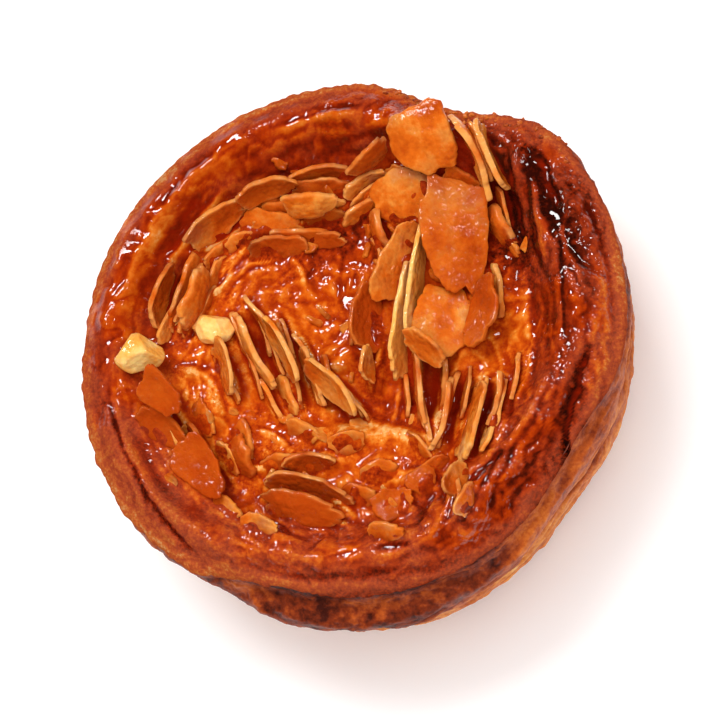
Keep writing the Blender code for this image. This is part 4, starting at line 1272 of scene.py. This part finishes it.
def almond_shades(points, edge, finish, over, hidden, seed):
    """Numbers for the almond materials; over is each point's height above the bed, and hidden is how much
    sky other pieces hide, which darkens the glaze as painted shade.
    """
    edge = edge * smooth_step(0.15, 0.85, leaning(points)) * smooth_step(0.2 * MM, 1.4 * MM, over)
    cloud = noise(points, 4.5 * MM, seed) + 0.5 * noise(points, 1.6 * MM, seed + 20)
    drips = noise(points, 2.6 * MM, seed + 40)
    fade = np.linalg.svd(points - points.mean(axis=0), full_matrices=False)[0][:, 0]
    fade *= math.cos(2.4 * seed) / np.abs(fade).max()
    # The hidden share darkens the slice toward the glaze colour: painted shade.
    glaze = finish.glaze * (1.0 - 0.7 * edge) + 0.45 * hidden
    glaze += 0.6 * np.clip(cloud + 0.4 * fade - 0.1, 0.0, 1.0)
    return {
        "tone": finish.tone + 0.28 * cloud + 0.22 * fade,
        "edge": edge * np.clip(finish.edge * (0.65 + 1.1 * drips), 0.0, 1.0),
        "glaze": np.clip(glaze, 0.0, 0.9),
        "sunk": 0.9 * smooth_step(1.6 * MM, 0.0, over) * (1.0 - 0.3 * edge),
        "wet": np.clip(0.75 + 1.2 * drips, 0.0, 1.0),
    }


def make_almonds(bed_tree, slices, toasted, pale):
    """Every slice as its own piece."""
    for index, (name, (points, faces, edge)) in enumerate(SLICES.items()):
        over, hidden = heights_over(bed_tree, points), shelter_of(slices, points)
        seed = SLICE_SHADE_SEED + index
        shades = almond_shades(points, edge, finish_of(name), over, hidden, seed)
        is_pale = name.startswith("almond_tall")
        piece = make_piece(f"{name}_slice", points, faces, pale if is_pale else toasted, shades)
        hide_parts(name)


def make_shards(bed_tree, slices, material):
    """All the shards as one piece."""
    points, faces, _ = join_meshes(SHARD_MESHES)
    parts = []
    for index, (shard, (shape, _, edge)) in enumerate(zip(SHARDS, SHARD_MESHES)):
        over, hidden = heights_over(bed_tree, shape), shelter_of(slices, shape)
        seed = SHARD_SHADE_SEED + index
        parts.append(almond_shades(shape, edge, shard.finish, over, hidden, seed))
    shades = {key: np.concatenate([part[key] for part in parts]) for key in parts[0]}
    piece = make_piece("almond_shards", points, faces, material, shades)


def make_bits(tree, material):
    """Broken bits of almond, half sunk in the caramel, as one piece."""
    random = np.random.default_rng(BIT_SEED)
    meshes, over = [], []
    for index in range(BIT_COUNT):
        x, y, reach = BIT_AREAS[index % len(BIT_AREAS)]
        away, turn = reach * math.sqrt(random.uniform()), random.uniform(0.0, 2.0 * math.pi)
        place, normal = drop(tree, (x + away * math.cos(turn)) * MM, (y + away * math.sin(turn)) * MM)
        length = random.uniform(0.8, 1.8) * MM
        half_width = length * random.uniform(0.4, 0.75)
        seed = BIT_SHAPE_SEED + index
        shape, faces, edge = slice_mesh(length, half_width, BIT_THICKNESS, BIT_FINENESS, seed)
        lean = Matrix.Rotation(turn * 3.0, 3, "Z") @ Matrix.Rotation(random.uniform(0.3, 1.4), 3, "X")
        shape = shape @ np.array(normal.to_track_quat("Z", "Y").to_matrix() @ lean).T
        over.append(shape @ np.array(normal) + 1.4 * MM)
        meshes.append((shape + np.array(place), faces, edge))
    points, faces, edge = join_meshes(meshes)
    finish = Finish(0.58, 0.10, 0.6)
    over, hidden = np.concatenate(over), np.zeros(len(points))
    shades = almond_shades(points, edge, finish, over, hidden, BIT_SHADE_SEED)
    piece = make_piece("almond_bits", points, faces, material, shades)


def make_crumbs(top, material):
    """Crumbs of baked dough along the torn lip at the upper right, as one piece."""
    random = np.random.default_rng(CRUMB_SEED)
    unit, unit_faces = ball(3)
    points, faces = [], []
    for index in range(CRUMB_COUNT):
        turn = math.radians(random.uniform(*CRUMB_STRETCH))
        radius = around(LIP_RADIUS, turn) - random.uniform(-0.2, 2.2) * MM
        size = random.uniform(0.25, 0.6) * MM * random.uniform(0.5, 1.0, size=3)
        x, y = radius * math.cos(turn), radius * math.sin(turn)
        place = top.points()[np.argmin((top.x - x) ** 2 + (top.y - y) ** 2)]
        uneven = 1.0 + 0.5 * noise(unit + index, 0.9, CRUMB_SHAPE_SEED)
        points.append(unit * size * uneven[:, None] + place)
        faces.append(unit_faces + len(unit) * index)
    points = np.vstack(points)
    tone = 0.42 + 0.3 * noise(points, 4.0 * MM, CRUMB_SHADE_SEED)
    shades = {"tone": tone, "wet": np.full(len(points), 0.25)}
    piece = make_piece("crust_crumbs", points, np.vstack(faces), material, shades)


def nib_points(low, high, seed):
    """A chopped lump: a ball cut flat by random planes, to fill a box."""
    random = np.random.default_rng(seed)
    directions, faces = ball(5)
    cuts = random.normal(size=(11, 3))
    cuts /= np.linalg.norm(cuts, axis=1)[:, None]
    depth = random.uniform(0.62, 0.95, size=11)
    facing = np.clip(directions @ cuts.T, 0.05, None)
    reach = np.minimum(1.0, (depth / facing).min(axis=1))
    points = directions * reach[:, None] * 0.5 * np.array(high - low) * 1.05
    points += directions * (0.10 * MM * layered_noise(points, 1.2 * MM, seed))[:, None]
    return points + 0.5 * np.array(high + low), faces


def make_nibs(material):
    """The two thick pale lumps."""
    for index, name in enumerate(("nib_bed", "nib_rim")):
        points, faces = nib_points(*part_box(name), NIB_SEED + index)
        shades = {key: np.zeros(len(points)) for key in ("edge", "glaze", "sunk")}
        shades["tone"] = 0.86 + 0.25 * noise(points, 3.0 * MM, NIB_SHADE_SEED)
        shades["wet"] = np.full(len(points), 0.7)
        piece = make_piece(f"{name}_lump", points, faces, material, shades)
        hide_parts(name)


# ---------------------------------------------------------------- stage


# How far the camera leans from straight above, and towards which side.
CAMERA_TILT = math.radians(20.0)
CAMERA_TURN = math.radians(-45.0)
CAMERA_TARGET = Vector((2.1 * MM, -2.1 * MM, 36.5 * MM))
CAMERA_DISTANCE = 0.6
FRAME_WIDTH = 116.0 * MM
SENSOR = 36.0


def direction(turn, rise):
    """The way out from the middle at a turn from +X and a rise from level, both in radians."""
    return Vector((math.cos(rise) * math.cos(turn), math.cos(rise) * math.sin(turn), math.sin(rise)))


def aim(thing, place, target, up=Vector((0.0, 0.0, 1.0))):
    """Put a light or the camera at a place, looking at a target."""
    back = (place - target).normalized()
    right = up.cross(back).normalized()
    above = back.cross(right)
    turned = Matrix((right, above, back)).transposed().to_4x4()
    turned.translation = place
    thing.matrix_world = turned


def make_camera():
    """Above the pastry and a little to its lower right, with +Y up in the picture."""
    data = bpy.data.cameras.new("camera")
    data.sensor_width = SENSOR
    data.lens = SENSOR * CAMERA_DISTANCE / FRAME_WIDTH
    camera = add_object("camera", data)
    place = CAMERA_TARGET + CAMERA_DISTANCE * direction(CAMERA_TURN, 0.5 * math.pi - CAMERA_TILT)
    aim(camera, place, CAMERA_TARGET, Vector((0.0, 1.0, 0.0)))
    bpy.context.scene.camera = camera


def make_light(name, azimuth, elevation, distance, size, power):
    """A soft box at an azimuth from +X and an elevation, both in degrees; sizes in metres."""
    data = bpy.data.lights.new(name, "AREA")
    data.shape = "RECTANGLE"
    data.size, data.size_y = size
    data.energy = power
    light = add_object(name, data)
    place = distance * direction(math.radians(azimuth), math.radians(elevation))
    aim(light, place, Vector((0.0, 0.0, 0.5 * HEIGHT)))
    return light


# Name, azimuth, elevation, distance, size and power. The soft ones light the pastry without
# showing in its glaze, and the small ones only put sparkles in it.
SOFT_LIGHTS = (
    ("key", 116.0, 70.0, 0.9, (0.4, 0.32), 4.4),
    ("over", 330.0, 80.0, 1.1, (0.9, 0.9), 6.6),
    ("front", 290.0, 45.0, 1.1, (0.7, 0.5), 1.5),
)
SPARKLE_LIGHTS = (
    ("sparkle", 132.0, 44.0, 0.9, (0.26, 0.2), 5.4),
    ("glint", 40.0, 50.0, 0.9, (0.12, 0.09), 1.2),
)


def make_stage():
    """A pale floor, soft boxes and a pale surround."""
    bpy.ops.mesh.primitive_plane_add(size=4.0)
    floor = bpy.context.object
    floor.name = "floor"
    look = Look("floor_paint")
    look.set({"Base Color": (0.95, 0.95, 0.95, 1.0), "Roughness": 0.8})
    look.set({"Emission Color": (1.0, 1.0, 1.0, 1.0), "Emission Strength": 0.1})
    floor.data.materials.append(look.material)
    for row in SOFT_LIGHTS:
        make_light(*row).visible_glossy = False
    for row in SPARKLE_LIGHTS:
        make_light(*row).visible_diffuse = False
    world = bpy.data.worlds.new("surround")
    world.use_nodes = True
    background = world.node_tree.nodes["Background"]
    background.inputs["Color"].default_value = (1.0, 1.0, 1.0, 1.0)
    background.inputs["Strength"].default_value = 0.35
    world.cycles_visibility.glossy = False
    bpy.context.scene.world = world
    bpy.context.scene.view_settings.view_transform = "Standard"


# ---------------------------------------------------------------- the whole scene


slice_tree = tree_of_slices()
top, top_piece = make_top(slice_tree)
wall_piece = make_wall()
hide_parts("dough")
top_tree = surface_tree(top, top.height)
bed_tree = surface_tree(top, top.bed)
toasted_material = almond_look("toasted_almond", TOASTED_STOPS, TOASTED_EDGE)
pale_material = almond_look("pale_almond", PALE_STOPS, PALE_EDGE)
make_almonds(bed_tree, slice_tree, toasted_material, pale_material)
make_shards(bed_tree, slice_tree, toasted_material)
make_bits(top_tree, toasted_material)
make_crumbs(top, wall_piece.data.materials[0])
make_nibs(pale_material)
make_stage()
make_camera()
